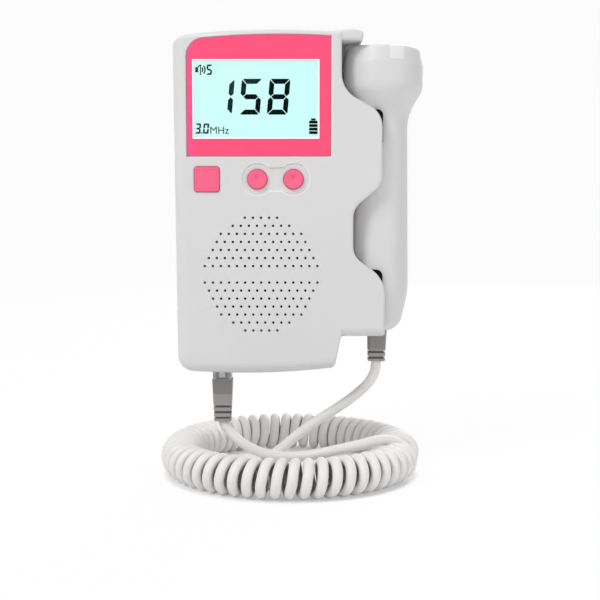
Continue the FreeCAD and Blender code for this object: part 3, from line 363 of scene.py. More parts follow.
def brushed(name, tone, roughness=0.3):
    """Sheet or turned metal with fine lines along one way."""
    finish = Finish(name, tone, roughness, Metallic=1.0)
    stretch = finish.node("ShaderNodeMapping", None, {"Vector": finish.place, "Scale": (1, 1, 30)})
    lines = finish.noise(0.004, 3.0, 0.6, stretch.outputs["Vector"])
    finish.rough(roughness - BRUSH_BELOW + BRUSH_SPREAD * lines)
    finish.bump(lines, 0.000004)
    return finish


# Modelling

def deselect():
    for item in bpy.context.selected_objects:
        item.select_set(False)


def pick(*items):
    """Selects only these pieces, and makes the first one active."""
    deselect()
    for item in items:
        item.select_set(True)
    bpy.context.view_layer.objects.active = items[0]


def moved(item, step):
    """Shifts a piece's mesh."""
    item.data.transform(Matrix.Translation(step))
    return item


def settle(item, name, material, body):
    """Puts a finished piece's place in its mesh, and names, finishes and mounts it."""
    item.name = name
    item.data.name = name
    item.data.transform(item.matrix_world)
    item.matrix_world = Matrix.Identity(4)
    item.data.materials.clear()
    item.data.materials.append(material)
    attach(item, body)
    return item


def joined(items):
    """Several pieces as one."""
    pick(*items)
    bpy.ops.object.join()
    return bpy.context.view_layer.objects.active


def dress(finish, *nodes):
    """Gives CAD nodes a finish."""
    for node in nodes:
        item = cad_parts[node]
        for place in item.material_slots:
            place.material = finish.material


# Cord

# How far the coil's turns stray from even, and how often, along the coil and from turn to turn
STRAY = 0.012
STRAY_ALONG = 7.3
STRAY_ROUND = 0.37


def nurbs(name, points, resolution):
    """A curve of one smooth spline that these points guide."""
    curve = bpy.data.curves.new(name, "CURVE")
    curve.dimensions = "3D"
    curve.resolution_u = resolution
    spline = curve.splines.new("NURBS")
    spline.points.add(len(points) - 1)
    for control, point in zip(spline.points, points):
        control.co = (*point, 1)
    spline.order_u = 3
    spline.use_endpoint_u = True
    spline.resolution_u = resolution
    item = bpy.data.objects.new(name, curve)
    bpy.context.scene.collection.objects.link(item)
    return item


def line_of(item):
    """The points along a curve that has no bevel."""
    mesh = bpy.data.meshes.new_from_object(item)
    points = [vertex.co.copy() for vertex in mesh.vertices]
    bpy.data.meshes.remove(mesh)
    return points


class Line:
    """A line of points, read by its share of the whole length."""

    def __init__(self, points):
        self.points = points
        self.reach = [0.0]
        for before, after in zip(points, points[1:]):
            self.reach.append(self.reach[-1] + (after - before).length)

    def at(self, share):
        """Place and direction at a share of the length."""
        wanted = share * self.reach[-1]
        step = 1
        while step < len(self.points) - 1 and self.reach[step] < wanted:
            step += 1
        before, after = self.points[step - 1], self.points[step]
        part = (wanted - self.reach[step - 1]) / (self.reach[step] - self.reach[step - 1])
        return before.lerp(after, part), (after - before).normalized()


def ring_size():
    """Centre of the coil's ring, its radius and the outer radius of the coil."""
    low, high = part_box("cord_coil")
    thick = (high.z - low.z) / 2
    return (low + high) / 2, (high.x - low.x) / 2 - thick, thick


def ring_route(start, turn, steps):
    """Points that guide the middle of the coil round its ring, clockwise as seen from above."""
    centre, radius, _ = ring_size()
    reach = radius / math.cos(math.radians(turn / steps / 2))
    points = []
    for i in range(steps + 1):
        angle = math.radians(start - i * turn / steps)
        points.append(centre + reach * Vector((math.cos(angle), math.sin(angle), 0)))
    return points


def helix(line, radius, turns, per_turn):
    """Points round a line: over the top outwards, down, back under it and up inside."""
    points = []
    outset = radius / math.cos(math.pi / per_turn)
    steps = int(turns * per_turn)
    for i in range(1, steps):
        share = i / steps
        middle, way = line.at(share)
        outward = UP.cross(way)
        angle = math.pi / 2 - 2 * math.pi * turns * share
        stray = STRAY * math.sin(STRAY_ALONG * angle / turns) * math.sin(STRAY_ROUND * angle)
        around = math.cos(angle) * outward + math.sin(angle) * UP
        points.append(middle + outset * (1 + stray) * around)
    return points


class DOPPLER_OT_cord(bpy.types.Operator):
    """Make the curly cord from the housing's plug round its ring to the probe's plug"""
    bl_idname = "doppler.cord"
    bl_label = "Curly cord"

    ring_start = -17.0
    ring_turn = 346.0
    ring_steps = 35
    per_turn = 14
    smoothness = 4
    sides = 4
    # Painted shade on the cord where its turns face the inside of the coil, left out at the coil's ends
    coil_shade_tone = linear(70, 68, 68)
    coil_shade_share = 0.66
    coil_shade_depth = (0.82, 0.5)
    coil_shade_ends = (0.8, 0.92)
    cloud_share = 0.06

    def execute(self, context):
        sizes = context.scene.doppler_cord
        guides = ring_route(self.ring_start, self.ring_turn, self.ring_steps)
        ring = nurbs("ring_route", guides, self.smoothness)
        radius = ring_size()[2] - sizes.diameter / 2
        turns = helix(Line(line_of(ring)), radius, sizes.turns, self.per_turn)
        route = [Vector(p) for p in UNIT_TAIL] + turns + [Vector(p) for p in reversed(PROBE_TAIL)]
        curve = nurbs("cord_route", route, self.smoothness)
        path = line_of(curve)
        curve.data.bevel_depth = sizes.diameter / 2
        curve.data.bevel_resolution = self.sides
        curve.data.use_fill_caps = True
        mesh = bpy.data.meshes.new_from_object(curve)
        mesh.shade_smooth()
        cord = bpy.data.objects.new("curly_cord", mesh)
        context.scene.collection.objects.link(cord)
        for used in (ring, curve):
            bpy.data.objects.remove(used)
        mesh.materials.clear()
        mesh.materials.append(self.jacket(context.scene.doppler_colours.cord).material)
        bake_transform(cord)
        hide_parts("cord_tail_unit", "cord_coil", "cord_tail_probe")
        return {"FINISHED"}

    def jacket(self, tone):
        """A jacket with painted shade inside the coil, where its turns face one another, but not at the
        right, where the coil starts and ends.
        """
        finish = moulded("cord_jacket", tone, 0.45, 0.0006, 0.00001, 0)
        x, y, z = finish.along()
        centre, radius, thick = ring_size()
        depth = span(span(x - centre.x, y - centre.y) - radius, z - centre.z)
        coil_shade = finish.slope(depth, *(share * thick for share in self.coil_shade_depth))
        ends = finish.slope(x, *(centre.x + share * radius for share in self.coil_shade_ends))
        # Painted shade inside the coil, fading out towards the coil's ends at the right
        share = self.coil_shade_share * coil_shade * (1 - ends) + self.cloud_share * finish.noise(0.02, 3.0)
        finish.colour(finish.blend(share, tone, self.coil_shade_tone))
        return finish


# Readout

# Thickness of a segment, and the share of its width that slants off an outer corner
PLATE = 0.08 * MM
CORNER = 0.42

# Each segment's model, the axis to turn it about, and its place as shares of the digit
SEGMENTS = {
    "top": ("end", None, 0.5, 1.0),
    "middle": ("middle", None, 0.5, 0.5),
    "foot": ("end", "X", 0.5, 0.0),
    "upper_left": ("side", None, 0.0, 0.75),
    "upper_right": ("side", "Z", 1.0, 0.75),
    "lower_left": ("side", "X", 0.0, 0.25),
    "lower_right": ("side", "Y", 1.0, 0.25),
}
DIGITS = {
    "0": ("top", "foot", "upper_left", "upper_right", "lower_left", "lower_right"),
    "1": ("upper_right", "lower_right"),
    "2": ("top", "middle", "foot", "upper_right", "lower_left"),
    "3": ("top", "middle", "foot", "upper_right", "lower_right"),
    "4": ("middle", "upper_left", "upper_right", "lower_right"),
    "5": ("top", "middle", "foot", "upper_left", "lower_right"),
    "6": ("top", "middle", "foot", "upper_left", "lower_left", "lower_right"),
    "7": ("top", "upper_right", "lower_right"),
    "8": tuple(SEGMENTS),
    "9": ("top", "middle", "foot", "upper_left", "upper_right", "lower_right"),
}


def plate(width, height, cuts, chamfer=0.0):
    """A thin upright plate round the origin, cut along slanting lines through (x, z) points."""
    deselect()
    bpy.ops.mesh.primitive_cube_add(size=1, scale=(width, PLATE, height))
    item = bpy.context.object
    bpy.ops.object.transform_apply(location=False, rotation=False, scale=True)
    bpy.ops.object.mode_set(mode="EDIT")
    for (x, z), (across, up) in cuts:
        bpy.ops.mesh.select_all(action="SELECT")
        bpy.ops.mesh.bisect(plane_co=(x, 0, z), plane_no=(across, 0, up), use_fill=True, clear_outer=True)
    if chamfer:
        bpy.ops.mesh.select_all(action="DESELECT")
        bpy.ops.mesh.select_mode(type="EDGE")
        bpy.ops.object.mode_set(mode="OBJECT")
        for edge in item.data.edges:
            ends = [item.data.vertices[i].co for i in edge.vertices]
            edge.select = abs(ends[0].y - ends[1].y) > PLATE / 2
        bpy.ops.object.mode_set(mode="EDIT")
        bpy.ops.mesh.bevel(offset=chamfer, segments=2)
    bpy.ops.object.mode_set(mode="OBJECT")
    return item


def outlined(item, line):
    """Leaves only a frame of a thin plate, with this width of line."""
    pick(item)
    for face in item.data.polygons:
        face.select = abs(face.normal.y) > 0.5
    bpy.ops.object.mode_set(mode="EDIT")
    bpy.ops.mesh.select_mode(type="FACE")
    bpy.ops.mesh.inset(thickness=line)
    bpy.ops.mesh.bridge_edge_loops()
    bpy.ops.object.mode_set(mode="OBJECT")
    return item


def copied(item):
    """A second piece with its own mesh."""
    again = item.copy()
    again.data = item.data.copy()
    bpy.context.scene.collection.objects.link(again)
    return again


def segment_models(width, height, stroke, gap):
    """The three kinds of segment, with slanting ends that meet along fine gaps."""
    slip = gap * math.sqrt(0.5)
    corner = CORNER * stroke
    half, side, room = width / 2, stroke / 2, height / 4
    end = plate(width, stroke, [
        ((slip - half, side), (-1, -1)), ((half - slip, side), (1, -1)),
        ((corner - half, side), (-1, 1)), ((half - corner, side), (1, 1))])
    middle = plate(width, stroke, [
        ((side + slip - half, 0), (-1, up)) for up in (1, -1)] + [
        ((half - side - slip, 0), (1, up)) for up in (1, -1)])
    upright = plate(stroke, height / 2, [
        ((-side, room - slip), (1, 1)), ((-side, room - corner), (-1, 1)),
        ((0, slip - room), (1, -1)), ((0, slip - room), (-1, -1))])
    return {"end": end, "middle": middle, "side": upright}


def digits(text, place, width, height, pitch, stroke, gap):
    """Seven-segment digits, the first with the left corner of its foot at a place."""
    models = segment_models(width, height, stroke, gap)
    items = []
    for i, character in enumerate(text):
        for name in DIGITS[character]:
            kind, turn, across, up = SEGMENTS[name]
            rise = up * height if kind == "side" else stroke / 2 + up * (height - stroke)
            item = copied(models[kind])
            if turn:
                item.data.transform(Matrix.Rotation(math.pi, 4, turn))
            run = i * pitch + (stroke / 2 + across * (width - stroke) if kind == "side" else width / 2)
            items.append(moved(item, place + Vector((run, 0, rise))))
    for model in models.values():
        bpy.data.objects.remove(model)
    return items


def slanted(item, slant, foot):
    """Leans a flat piece to the right about its foot line."""
    for vertex in item.data.vertices:
        vertex.co.x += slant * (vertex.co.z - foot)
    return item


def panel_place(x, z):
    """A place on the lit panel's front face, from millimetres."""
    return Vector((x * MM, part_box("lcd_panel")[0].y - PLATE / 4, z * MM))


class DOPPLER_OT_reading(bpy.types.Operator):
    """Make the large digits of the heart rate"""
    bl_idname = "doppler.reading"
    bl_label = "Heart rate digits"

    place = (-18.14, 34.71)
    gap = 0.28 * MM
    pale_tone = linear(40, 72, 76)
    pale_share = 0.3
    pale_rise = 0.6
    cloud_share = 0.04

    def execute(self, context):
        sizes = context.scene.doppler_readout
        place = panel_place(*self.place)
        items = digits(sizes.reading, place, sizes.digit_width, sizes.digit_height, sizes.digit_pitch,
                       sizes.stroke, self.gap)
        large = slanted(joined(items), sizes.slant, place.z)
        ink = self.ink(context.scene.doppler_colours.ink, sizes)
        settle(large, "display_reading", ink.material, "unit")
        return {"FINISHED"}

    def ink(self, tone, sizes):
        """Dark segments, paler in the first digit and in the upper part of the first two."""
        ink = Finish("display_ink", tone, 0.5, Specular_IOR_Level=0.0)
        x, _, z = ink.along()
        second = self.place[0] * MM + sizes.digit_pitch
        upper = self.place[1] * MM + self.pale_rise * sizes.digit_height
        pale = (x < second - MM) + (x < second + sizes.digit_pitch) * (z > upper)
        share = self.pale_share * pale + self.cloud_share * ink.noise(0.002, 2.0)
        ink.colour(ink.blend(share, tone, self.pale_tone))
        return ink


class DOPPLER_OT_signs(bpy.types.Operator):
    """Make the small digits and signs in the corners of the display"""
    bl_idname = "doppler.signs"
    bl_label = "Small signs"

    small = {
        "width": 2.2 * MM,
        "height": 4.0 * MM,
        "pitch": 3.15 * MM,
        "stroke": 0.68 * MM,
        "gap": 0.05 * MM,
    }
    volume_place = (-20.0, 50.0)
    rate_place = (-24.55, 27.33)
    dot = 0.55 * MM
    unit_place = (-18.75, 27.33)
    unit_size = 3.95 * MM
    horn_place = (-23.9, 52.0)
    horn_box = (0.7 * MM, 2.0 * MM)
    horn_box_run = 0.1 * MM
    horn_box_round = 0.1 * MM
    cone_size = (1.5 * MM, 3.9 * MM)
    cone_throat = 0.95 * MM
    cone_slope = 1.2
    cone_line = 0.4 * MM
    cone_run = 1.25 * MM
    wave_reaches = (1.15 * MM, 2.05 * MM)
    wave_line = 0.27 * MM
    wave_flat = 0.2
    wave_run = 1.5 * MM
    bar_count = 4
    bar_size = (3.3 * MM, 1.12 * MM)
    bar_round = 0.12 * MM
    bar_place = (21.77, 27.75)
    bar_pitch = 1.36 * MM
    cap_size = (1.8 * MM, 0.8 * MM)
    cap_round = 0.2 * MM
    cap_rise = 5.12 * MM

    def execute(self, context):
        slant = context.scene.doppler_readout.slant
        tone = context.scene.doppler_colours.ink
        ink = self.ink("sign_ink", linear(18, 42, 46), linear(6, 24, 28), linear(18, 44, 48))
        dark = self.ink("battery_ink", tone, shade(tone, 0.8), shade(tone, 1.3))
        volume = digits("5", panel_place(*self.volume_place), **self.small)
        self.finish(volume, "display_volume", slant, self.volume_place, ink)
        place = panel_place(*self.rate_place)
        rate = digits("30", place, **self.small) + [self.point(place)]
        self.finish(rate, "display_rate", slant, self.rate_place, ink)
        self.finish([self.unit_text()], "display_unit", 0, self.unit_place, ink)
        self.finish(self.horn(), "display_horn", 0, self.horn_place, ink)
        self.finish(self.battery(), "display_battery", 0, self.bar_place, dark)
        return {"FINISHED"}

    def ink(self, name, tone, low, high):
        """A dull ink whose tone varies between two others."""
        ink = Finish(name, tone, 0.5, Specular_IOR_Level=0.0)
        ink.colour(ink.blend(ink.noise(0.0015, 2.0), low, high))
        return ink

    def finish(self, items, name, slant, place, ink):
        """Joins a sign's pieces, leans them and puts them on the panel."""
        settle(slanted(joined(items), slant, place[1] * MM), name, ink.material, "unit")

    def point(self, place):
        """The point between the two digits of the frequency."""
        item = plate(self.dot, self.dot, [], self.dot / 4)
        run = (self.small["width"] + self.small["pitch"]) / 2
        return moved(item, place + Vector((run, 0, self.dot / 2)))

    def unit_text(self):
        """The unit of the frequency, in plain letters."""
        deselect()
        bpy.ops.object.text_add(location=panel_place(*self.unit_place), rotation=(math.pi / 2, 0, 0))
        item = bpy.context.object
        item.data.body = "MHz"
        item.data.size = self.unit_size
        item.data.extrude = PLATE / 2
        item.data.resolution_u = 3
        bpy.ops.object.convert(target="MESH")
        item = bpy.context.object
        item.data.transform(item.matrix_world)
        item.matrix_world = Matrix.Identity(4)
        return item

    def horn(self):
        """A small loudspeaker with two sound waves."""
        place = panel_place(*self.horn_place)
        box = plate(*self.horn_box, [], self.horn_box_round)
        moved(box, place + Vector((self.horn_box_run, 0, 0)))
        wide, tall = self.cone_size
        cuts = [((-wide / 2, up * self.cone_throat), (-1, up * self.cone_slope)) for up in (1, -1)]
        cone = outlined(plate(wide, tall, cuts), self.cone_line)
        moved(cone, place + Vector((self.cone_run, 0, 0)))
        waves = [self.wave(reach) for reach in self.wave_reaches]
        for wave in waves:
            moved(wave, place + Vector((self.wave_run, 0, 0)))
        return [box, cone] + waves

    def wave(self, reach):
        """A flattened quarter of a ring that opens to the left."""
        deselect()
        bpy.ops.mesh.primitive_torus_add(
            major_radius=reach, minor_radius=self.wave_line, major_segments=32, minor_segments=4,
            rotation=(math.pi / 2, 0, 0))
        bpy.ops.object.transform_apply(location=False, rotation=True, scale=False)
        bpy.ops.object.mode_set(mode="EDIT")
        for up in (1, -1):
            bpy.ops.mesh.select_all(action="SELECT")
            bpy.ops.mesh.bisect(
                plane_co=(0, 0, 0), plane_no=(-1, 0, up), use_fill=True, clear_outer=True)
        bpy.ops.object.mode_set(mode="OBJECT")
        item = bpy.context.object
        item.data.transform(Matrix.Diagonal((1, self.wave_flat, 1, 1)))
        return item

    def battery(self):
        """A stack of charge bars under a small cap."""
        place = panel_place(*self.bar_place)
        bar = plate(*self.bar_size, [], self.bar_round)
        bars = [bar] + [copied(bar) for _ in range(self.bar_count - 1)]
        for i, item in enumerate(bars):
            moved(item, place + Vector((0, 0, i * self.bar_pitch)))
        cap = plate(*self.cap_size, [], self.cap_round)
        return bars + [moved(cap, place + Vector((0, 0, self.cap_rise)))]


# Finishes of the CAD nodes

class DOPPLER_OT_shells(bpy.types.Operator):
    """Finish the housing, the battery cover and the probe"""
    bl_idname = "doppler.shells"
    bl_label = "Housing and probe"

    mark = ((51.0 * MM, 57.3 * MM), (55.9 * MM, 64.0 * MM))
    mark_edge = 0.6 * MM
    mark_tone = linear(233, 233, 233)
    mark_share = 0.8
    cloud_share = 0.12
    # Painted highlights: pale lines beside the trim's right side and foot, and round the button recess
    trim_highlight_line = 0.5 * MM
    painted_highlight_tone = linear(252, 252, 252)
    trim_highlight_share = 0.75
    button_height = 9.6 * MM
    recess_highlight_line = (6.2 * MM, 6.65 * MM)
    recess_highlight_share = 0.5
    waist_highlight = ((4.1 * MM, 9.8 * MM), (4.75 * MM, 5.25 * MM))
    waist_highlight_share = 0.7
    # Painted shade on the walls of the grille holes
    grille = (1.3 * MM, -27.55 * MM)
    grille_reach = 24.0 * MM
    hole_shade_tone = linear(10, 10, 10)
    skin = 0.04 * MM

    def execute(self, context):
        tone = context.scene.doppler_colours.housing
        shell = moulded("housing_plastic", tone)
        dress(shell, "rear_housing", "battery_cover", "probe_shell_rear")
        dress(self.painted_light_shell(tone), "front_housing")
        dress(self.marked_shell(tone), "probe_shell_front")
        face = moulded("face_plastic", shade(tone, 0.93), 0.3, 0.0004, 0.000003)
        dress(face, "probe_face")
        pads = moulded("pad_rubber", linear(7, 7, 8), 0.75, 0.0002, 0.00001, 0.1, Specular_IOR_Level=0.1)
        dress(pads, "dock_pads")
        return {"FINISHED"}

    def painted_light_shell(self, tone):
        """The front housing: painted highlight lines beside the trim and round the button recess, and
        painted shade on the grille holes' walls.
        """
        shell = moulded("front_plastic", tone, drift=0)
        x, y, z = shell.along()
        low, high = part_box("display_bezel")
        line = self.trim_highlight_line
        right = inside(x, high.x - MM, high.x + line) * inside(z, low.z - line, high.z - MM)
        foot = inside(x, low.x + MM, high.x + line) * inside(z, low.z - line, low.z + MM)
        # Painted highlight lines beside the trim and round the recess
        pale = self.trim_highlight_share * (right + foot) + self.recess_highlight(x, z)
        highlighted = shell.blend(pale, shell.clouded(tone, DRIFT), self.painted_highlight_tone)
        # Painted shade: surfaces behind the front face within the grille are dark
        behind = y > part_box("front_housing")[0].y + self.skin
        hole_shade = behind * (span(x - self.grille[0], z - self.grille[1]) < self.grille_reach)
        shell.colour(shell.blend(hole_shade, highlighted, self.hole_shade_tone))
        return shell

    def recess_highlight(self, x, z):
        """How much painted highlight the recess's outline gets: its ring round each button, and the foot
        of its waist.
        """
        boxes = [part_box(node) for node in ("volume_down_button", "volume_up_button")]
        centres = [(low.x + high.x) / 2 for low, high in boxes]
        left, right = [span(x - centre, z - self.button_height) for centre in centres]
        run, (under, over) = self.waist_highlight
        between = inside(x, *centres) * inside(z, under, 2 * self.button_height - under)
        ring = inside(left.lesser(right), *self.recess_highlight_line) * (1 - between)
        waist_highlight = inside(x, *run) * inside(z, under, over)
        return self.recess_highlight_share * ring + self.waist_highlight_share * waist_highlight

    def marked_shell(self, tone):
        """The probe's front shell with a paler patch in the head's shallow pocket."""
        shell = moulded("probe_plastic", tone, drift=0)
        x, _, z = shell.along()
        run, rise = self.mark
        patch = eased_inside(x, *run, self.mark_edge) * eased_inside(z, *rise, self.mark_edge)
        share = self.cloud_share * shell.noise(0.045, 3.0) + self.mark_share * patch
        shell.colour(shell.blend(share, shade(tone, 0.98), self.mark_tone))
        return shell


class DOPPLER_OT_front(bpy.types.Operator):
    """Finish the display's trim, window and panel, and the buttons"""
    bl_idname = "doppler.front"
    bl_label = "Trim, display and buttons"

    flange = 0.9 * MM
    # Painted shade on the buttons: their rounded edges, a line inside the square face's edge, and a spot
    # in each dimple
    rounding = (0.6 * MM, 0.1 * MM)
    edge_shade_share = 0.55
    edge_shade_factor = 0.62
    shade_line = (1.35 * MM, 1.0 * MM)
    shade_line_share = 0.35
    dimple_shade_place = (-0.2 * MM, 0.9 * MM)
    dimple_shade_fade = (1.3 * MM, 0.3 * MM)
    dimple_shade_share = 0.45
    trim_fade = 3.2 * MM
    trim_cloud = 0.15
    # Painted shade on the trim's chamfer along its sides and foot
    trim_shade_edge = 0.4 * MM
    trim_shade_share = 0.4
    window_border = 0.5 * MM
    window_clear = 0.998
    green_left = 0.6
    green_up = 0.5
    green_start = 0.55
    green_cloud = 0.3

    def execute(self, context):
        colours = context.scene.doppler_colours
        dress(self.trim(colours.trim), "display_bezel")
        for node in ("power_button", "volume_down_button", "volume_up_button"):
            dress(self.button(node, colours.buttons), node)
        dress(self.window(), "display_window")
        dress(self.lit_panel(colours.display), "lcd_panel")
        guide = moulded("light_guide", linear(236, 240, 240), 0.4)
        dress(guide, "lcd_backlight")
        return {"FINISHED"}

    def button(self, node, tone):
        """A button with painted shade on its rounded edge, and a painted shade line on the square face or
        a painted shade spot in the round face's dimple.
        """
        plastic = moulded(node + "_plastic", tone, 0.45, 0.0002, 0.000005, 0)
        low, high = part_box(node)
        half = (high.x - low.x) / 2 - self.flange
        x, _, z = plastic.along()
        across, up = x - (low.x + high.x) / 2, z - (low.z + high.z) / 2
        if node == "power_button":
            reach = abs(across).greater(abs(up))
            outer, inner = self.shade_line
            mark = self.shade_line_share * inside(reach, half - outer, half - inner)
        else:
            reach = span(across, up)
            run, rise = self.dimple_shade_place
            mark = self.dimple_shade_share * plastic.slope(span(across - run, up - rise), *self.dimple_shade_fade)
        start, end = self.rounding
        edge = plastic.slope(reach, half - start, half - end)
        edge_shade_tone = shade(tone, self.edge_shade_factor)
        # Painted shade on the edge, the line and the dimple
        plastic.colour(plastic.blend(self.edge_shade_share * edge + mark, tone, edge_shade_tone))
        return plastic

    def trim(self, tone):
        """Pink trim, more magenta towards its left edge, with painted shade on its chamfer along its sides
        and foot.
        """
        trim = moulded("trim_plastic", tone, 0.32, 0.0003, 0.000003, 0)
        x, _, z = trim.along()
        low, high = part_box("display_bezel")
        fade = 1 - (x - low.x) * (1 / self.trim_fade) + self.trim_cloud * trim.noise(0.02, 2.0)
        face = trim.blend(fade, tone, linear(243, 82, 144))
        rim = self.trim_shade_edge
        # Painted shade along the trim's sides and foot
        edge = 1 - inside(x, low.x + rim, high.x - rim) * (z > low.z + rim)
        trim.colour(trim.blend(self.trim_shade_share * edge, face, linear(196, 96, 124)))
        return trim

    def window(self):
        """Clear lens with a printed white border, which glows faintly as painted light."""
        window = Finish("window_acrylic", (0.9, 0.97, 0.97), 0.05, Emission_Strength=0.18)
        x, _, z = window.along()
        low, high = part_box("display_window")
        rim = self.window_border
        clear = inside(x, low.x + rim, high.x - rim) * inside(z, low.z + rim, high.z - rim)
        window.colour(window.blend(clear, (0.98, 0.98, 0.98), linear(214, 250, 250)))
        window.feed(window.shader.inputs["Alpha"], 1 - self.window_clear * clear)
        # Painted light: the printed border glows faintly, though it is no lamp
        window.feed(window.shader.inputs["Emission Color"], window.blend(clear, (1, 1, 1), (0, 0, 0)))
        window.rough(0.04 + 0.05 * window.noise(0.01, 3.0))
        return window

    def lit_panel(self, tone):
        """Backlit panel, a little greener at its upper left."""
        panel = Finish("lit_panel", shade(tone, 0.12), 0.35, Emission_Strength=0.9)
        low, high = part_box("lcd_panel")
        x, _, z = panel.along()
        left = (high.x - x) * (self.green_left / (high.x - low.x))
        up = (z - low.z) * (self.green_up / (high.z - low.z))
        green = left + up - self.green_start + self.green_cloud * panel.noise(0.03, 2.0)
        light = panel.blend(green, tone, linear(208, 249, 237))
        panel.feed(panel.shader.inputs["Emission Color"], light)
        panel.bump(panel.noise(0.0003), 0.000002)
        return panel


class DOPPLER_OT_plugs(bpy.types.Operator):
    """Finish the plugs, their boots and the sockets"""
    bl_idname = "doppler.plugs"
    bl_label = "Plugs and boots"

    hood = 5.9 * MM
    hood_share = 0.7
    cloud_share = 0.3
    groove_foot = 1.05 * MM
    groove_pitch = 2.35 * MM
    groove = 0.9 * MM
    groove_shade_share = 0.75

    def execute(self, context):
        colours = context.scene.doppler_colours
        for node, grooves in (("unit_plug_boot", 3), ("probe_plug_boot", 2)):
            dress(self.boot(node, colours.boots, grooves), node)
        dress(moulded("plug_plastic", colours.plugs, 0.18, 0.0005, 0.000002), "unit_plug", "probe_plug")
        socket = moulded("socket_plastic", linear(30, 30, 32), 0.4)
        dress(socket, "unit_jack", "probe_jack", "headphone_jack")
        return {"FINISHED"}

    def boot(self, node, tone, grooves):
        """A strain relief whose upper part, round the plug, is darker, with painted shade in its grooves.
        """
        boot = moulded(node + "_rubber", tone, 0.5, 0.0003, 0.00001, 0)
        z = boot.along()[2]
        low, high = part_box(node)
        share = self.hood_share * (z > high.z - self.hood) + self.cloud_share * boot.noise(0.006, 2.0)
        skin = boot.blend(share, shade(tone, 1.1), shade(tone, 0.72))
        # Painted shade in the grooves
        feet = [low.z + self.groove_foot + i * self.groove_pitch for i in range(grooves)]
        groove_shade = sum(inside(z, foot, foot + self.groove) for foot in feet)
        boot.colour(boot.blend(self.groove_shade_share * groove_shade, skin, linear(60, 59, 59)))
        return boot


class DOPPLER_OT_latches(bpy.types.Operator):
    """Make the spring latch in front of each modular plug"""
    bl_idname = "doppler.latches"
    bl_label = "Plug latches"

    size = (2.6 * MM, 0.8 * MM, 5.6 * MM)
    taper = 0.72
    splay = math.radians(9)
    rounding = 0.15 * MM
    above_foot = 0.9 * MM

    def execute(self, context):
        finish = moulded("latch_plastic", context.scene.doppler_colours.plugs, 0.2, 0.0005, 0.000002, 0)
        finish.colour(finish.blend(finish.noise(0.002), linear(196, 196, 198), linear(214, 214, 216)))
        model = self.model()
        for node, body in (("unit_plug", "unit"), ("probe_plug", "probe")):
            low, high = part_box(node)
            place = Vector(((low.x + high.x) / 2, low.y + self.size[1], low.z + self.above_foot))
            item = moved(copied(model), place)
            settle(item, node + "_latch", finish.material, body)
        bpy.data.objects.remove(model)
        return {"FINISHED"}

    def model(self):
        """A tongue that narrows upwards and stands off the plug at its foot."""
        wide, thick, tall = self.size
        deselect()
        bpy.ops.mesh.primitive_cube_add(size=1, location=(0, 0, tall / 2), scale=(wide, thick, tall))
        item = bpy.context.object
        bpy.ops.object.transform_apply(location=True, rotation=False, scale=True)
        bpy.ops.object.mode_set(mode="EDIT")
        bpy.ops.mesh.select_mode(type="FACE")
        bpy.ops.mesh.select_all(action="DESELECT")
        bpy.ops.object.mode_set(mode="OBJECT")
        for face in item.data.polygons:
            face.select = face.normal.z > 0.5
        bpy.ops.object.mode_set(mode="EDIT")
        bpy.ops.transform.resize(value=(self.taper, 1, 1))
        bpy.ops.mesh.select_all(action="SELECT")
        bpy.ops.mesh.bevel(offset=self.rounding, segments=2, affect="EDGES")
        bpy.ops.object.mode_set(mode="OBJECT")
        item.data.transform(Matrix.Translation((0, 0, tall)) @ Matrix.Rotation(-self.splay, 4, "X")
                            @ Matrix.Translation((0, 0, -tall)))
        item.data.shade_smooth()
        return item


class DOPPLER_OT_inside(bpy.types.Operator):
    """Finish what the housing and the probe hold inside"""
    bl_idname = "doppler.inside"
    bl_label = "Inner pieces"

    def execute(self, context):
        dress(moulded("board_laminate", linear(24, 92, 52), 0.35, 0.0004), "main_board", "probe_board")
        dress(moulded("switch_plastic", linear(24, 24, 26), 0.4), "button_switches")
        dress(moulded("basket_enamel", linear(30, 30, 32), 0.5), "speaker_frame")
        dress(moulded("speaker_paper", linear(30, 30, 31), 0.85, 0.0008, 0.00005, 0.15), "speaker_cone")
        dress(brushed("zinc_steel", linear(168, 170, 174)), "board_screws", "housing_screws")
        dress(brushed("nickel_steel", linear(200, 198, 192), 0.25), "battery_contacts")
        dress(moulded("magnet_black", linear(38, 38, 42), 0.45), "speaker_magnet")
        dress(moulded("cell_sleeve", linear(58, 112, 88), 0.3), "battery_upper", "battery_lower")
        dress(moulded("crystal_ceramic", linear(206, 196, 168), 0.55), "probe_crystals")
        return {"FINISHED"}


# Studio

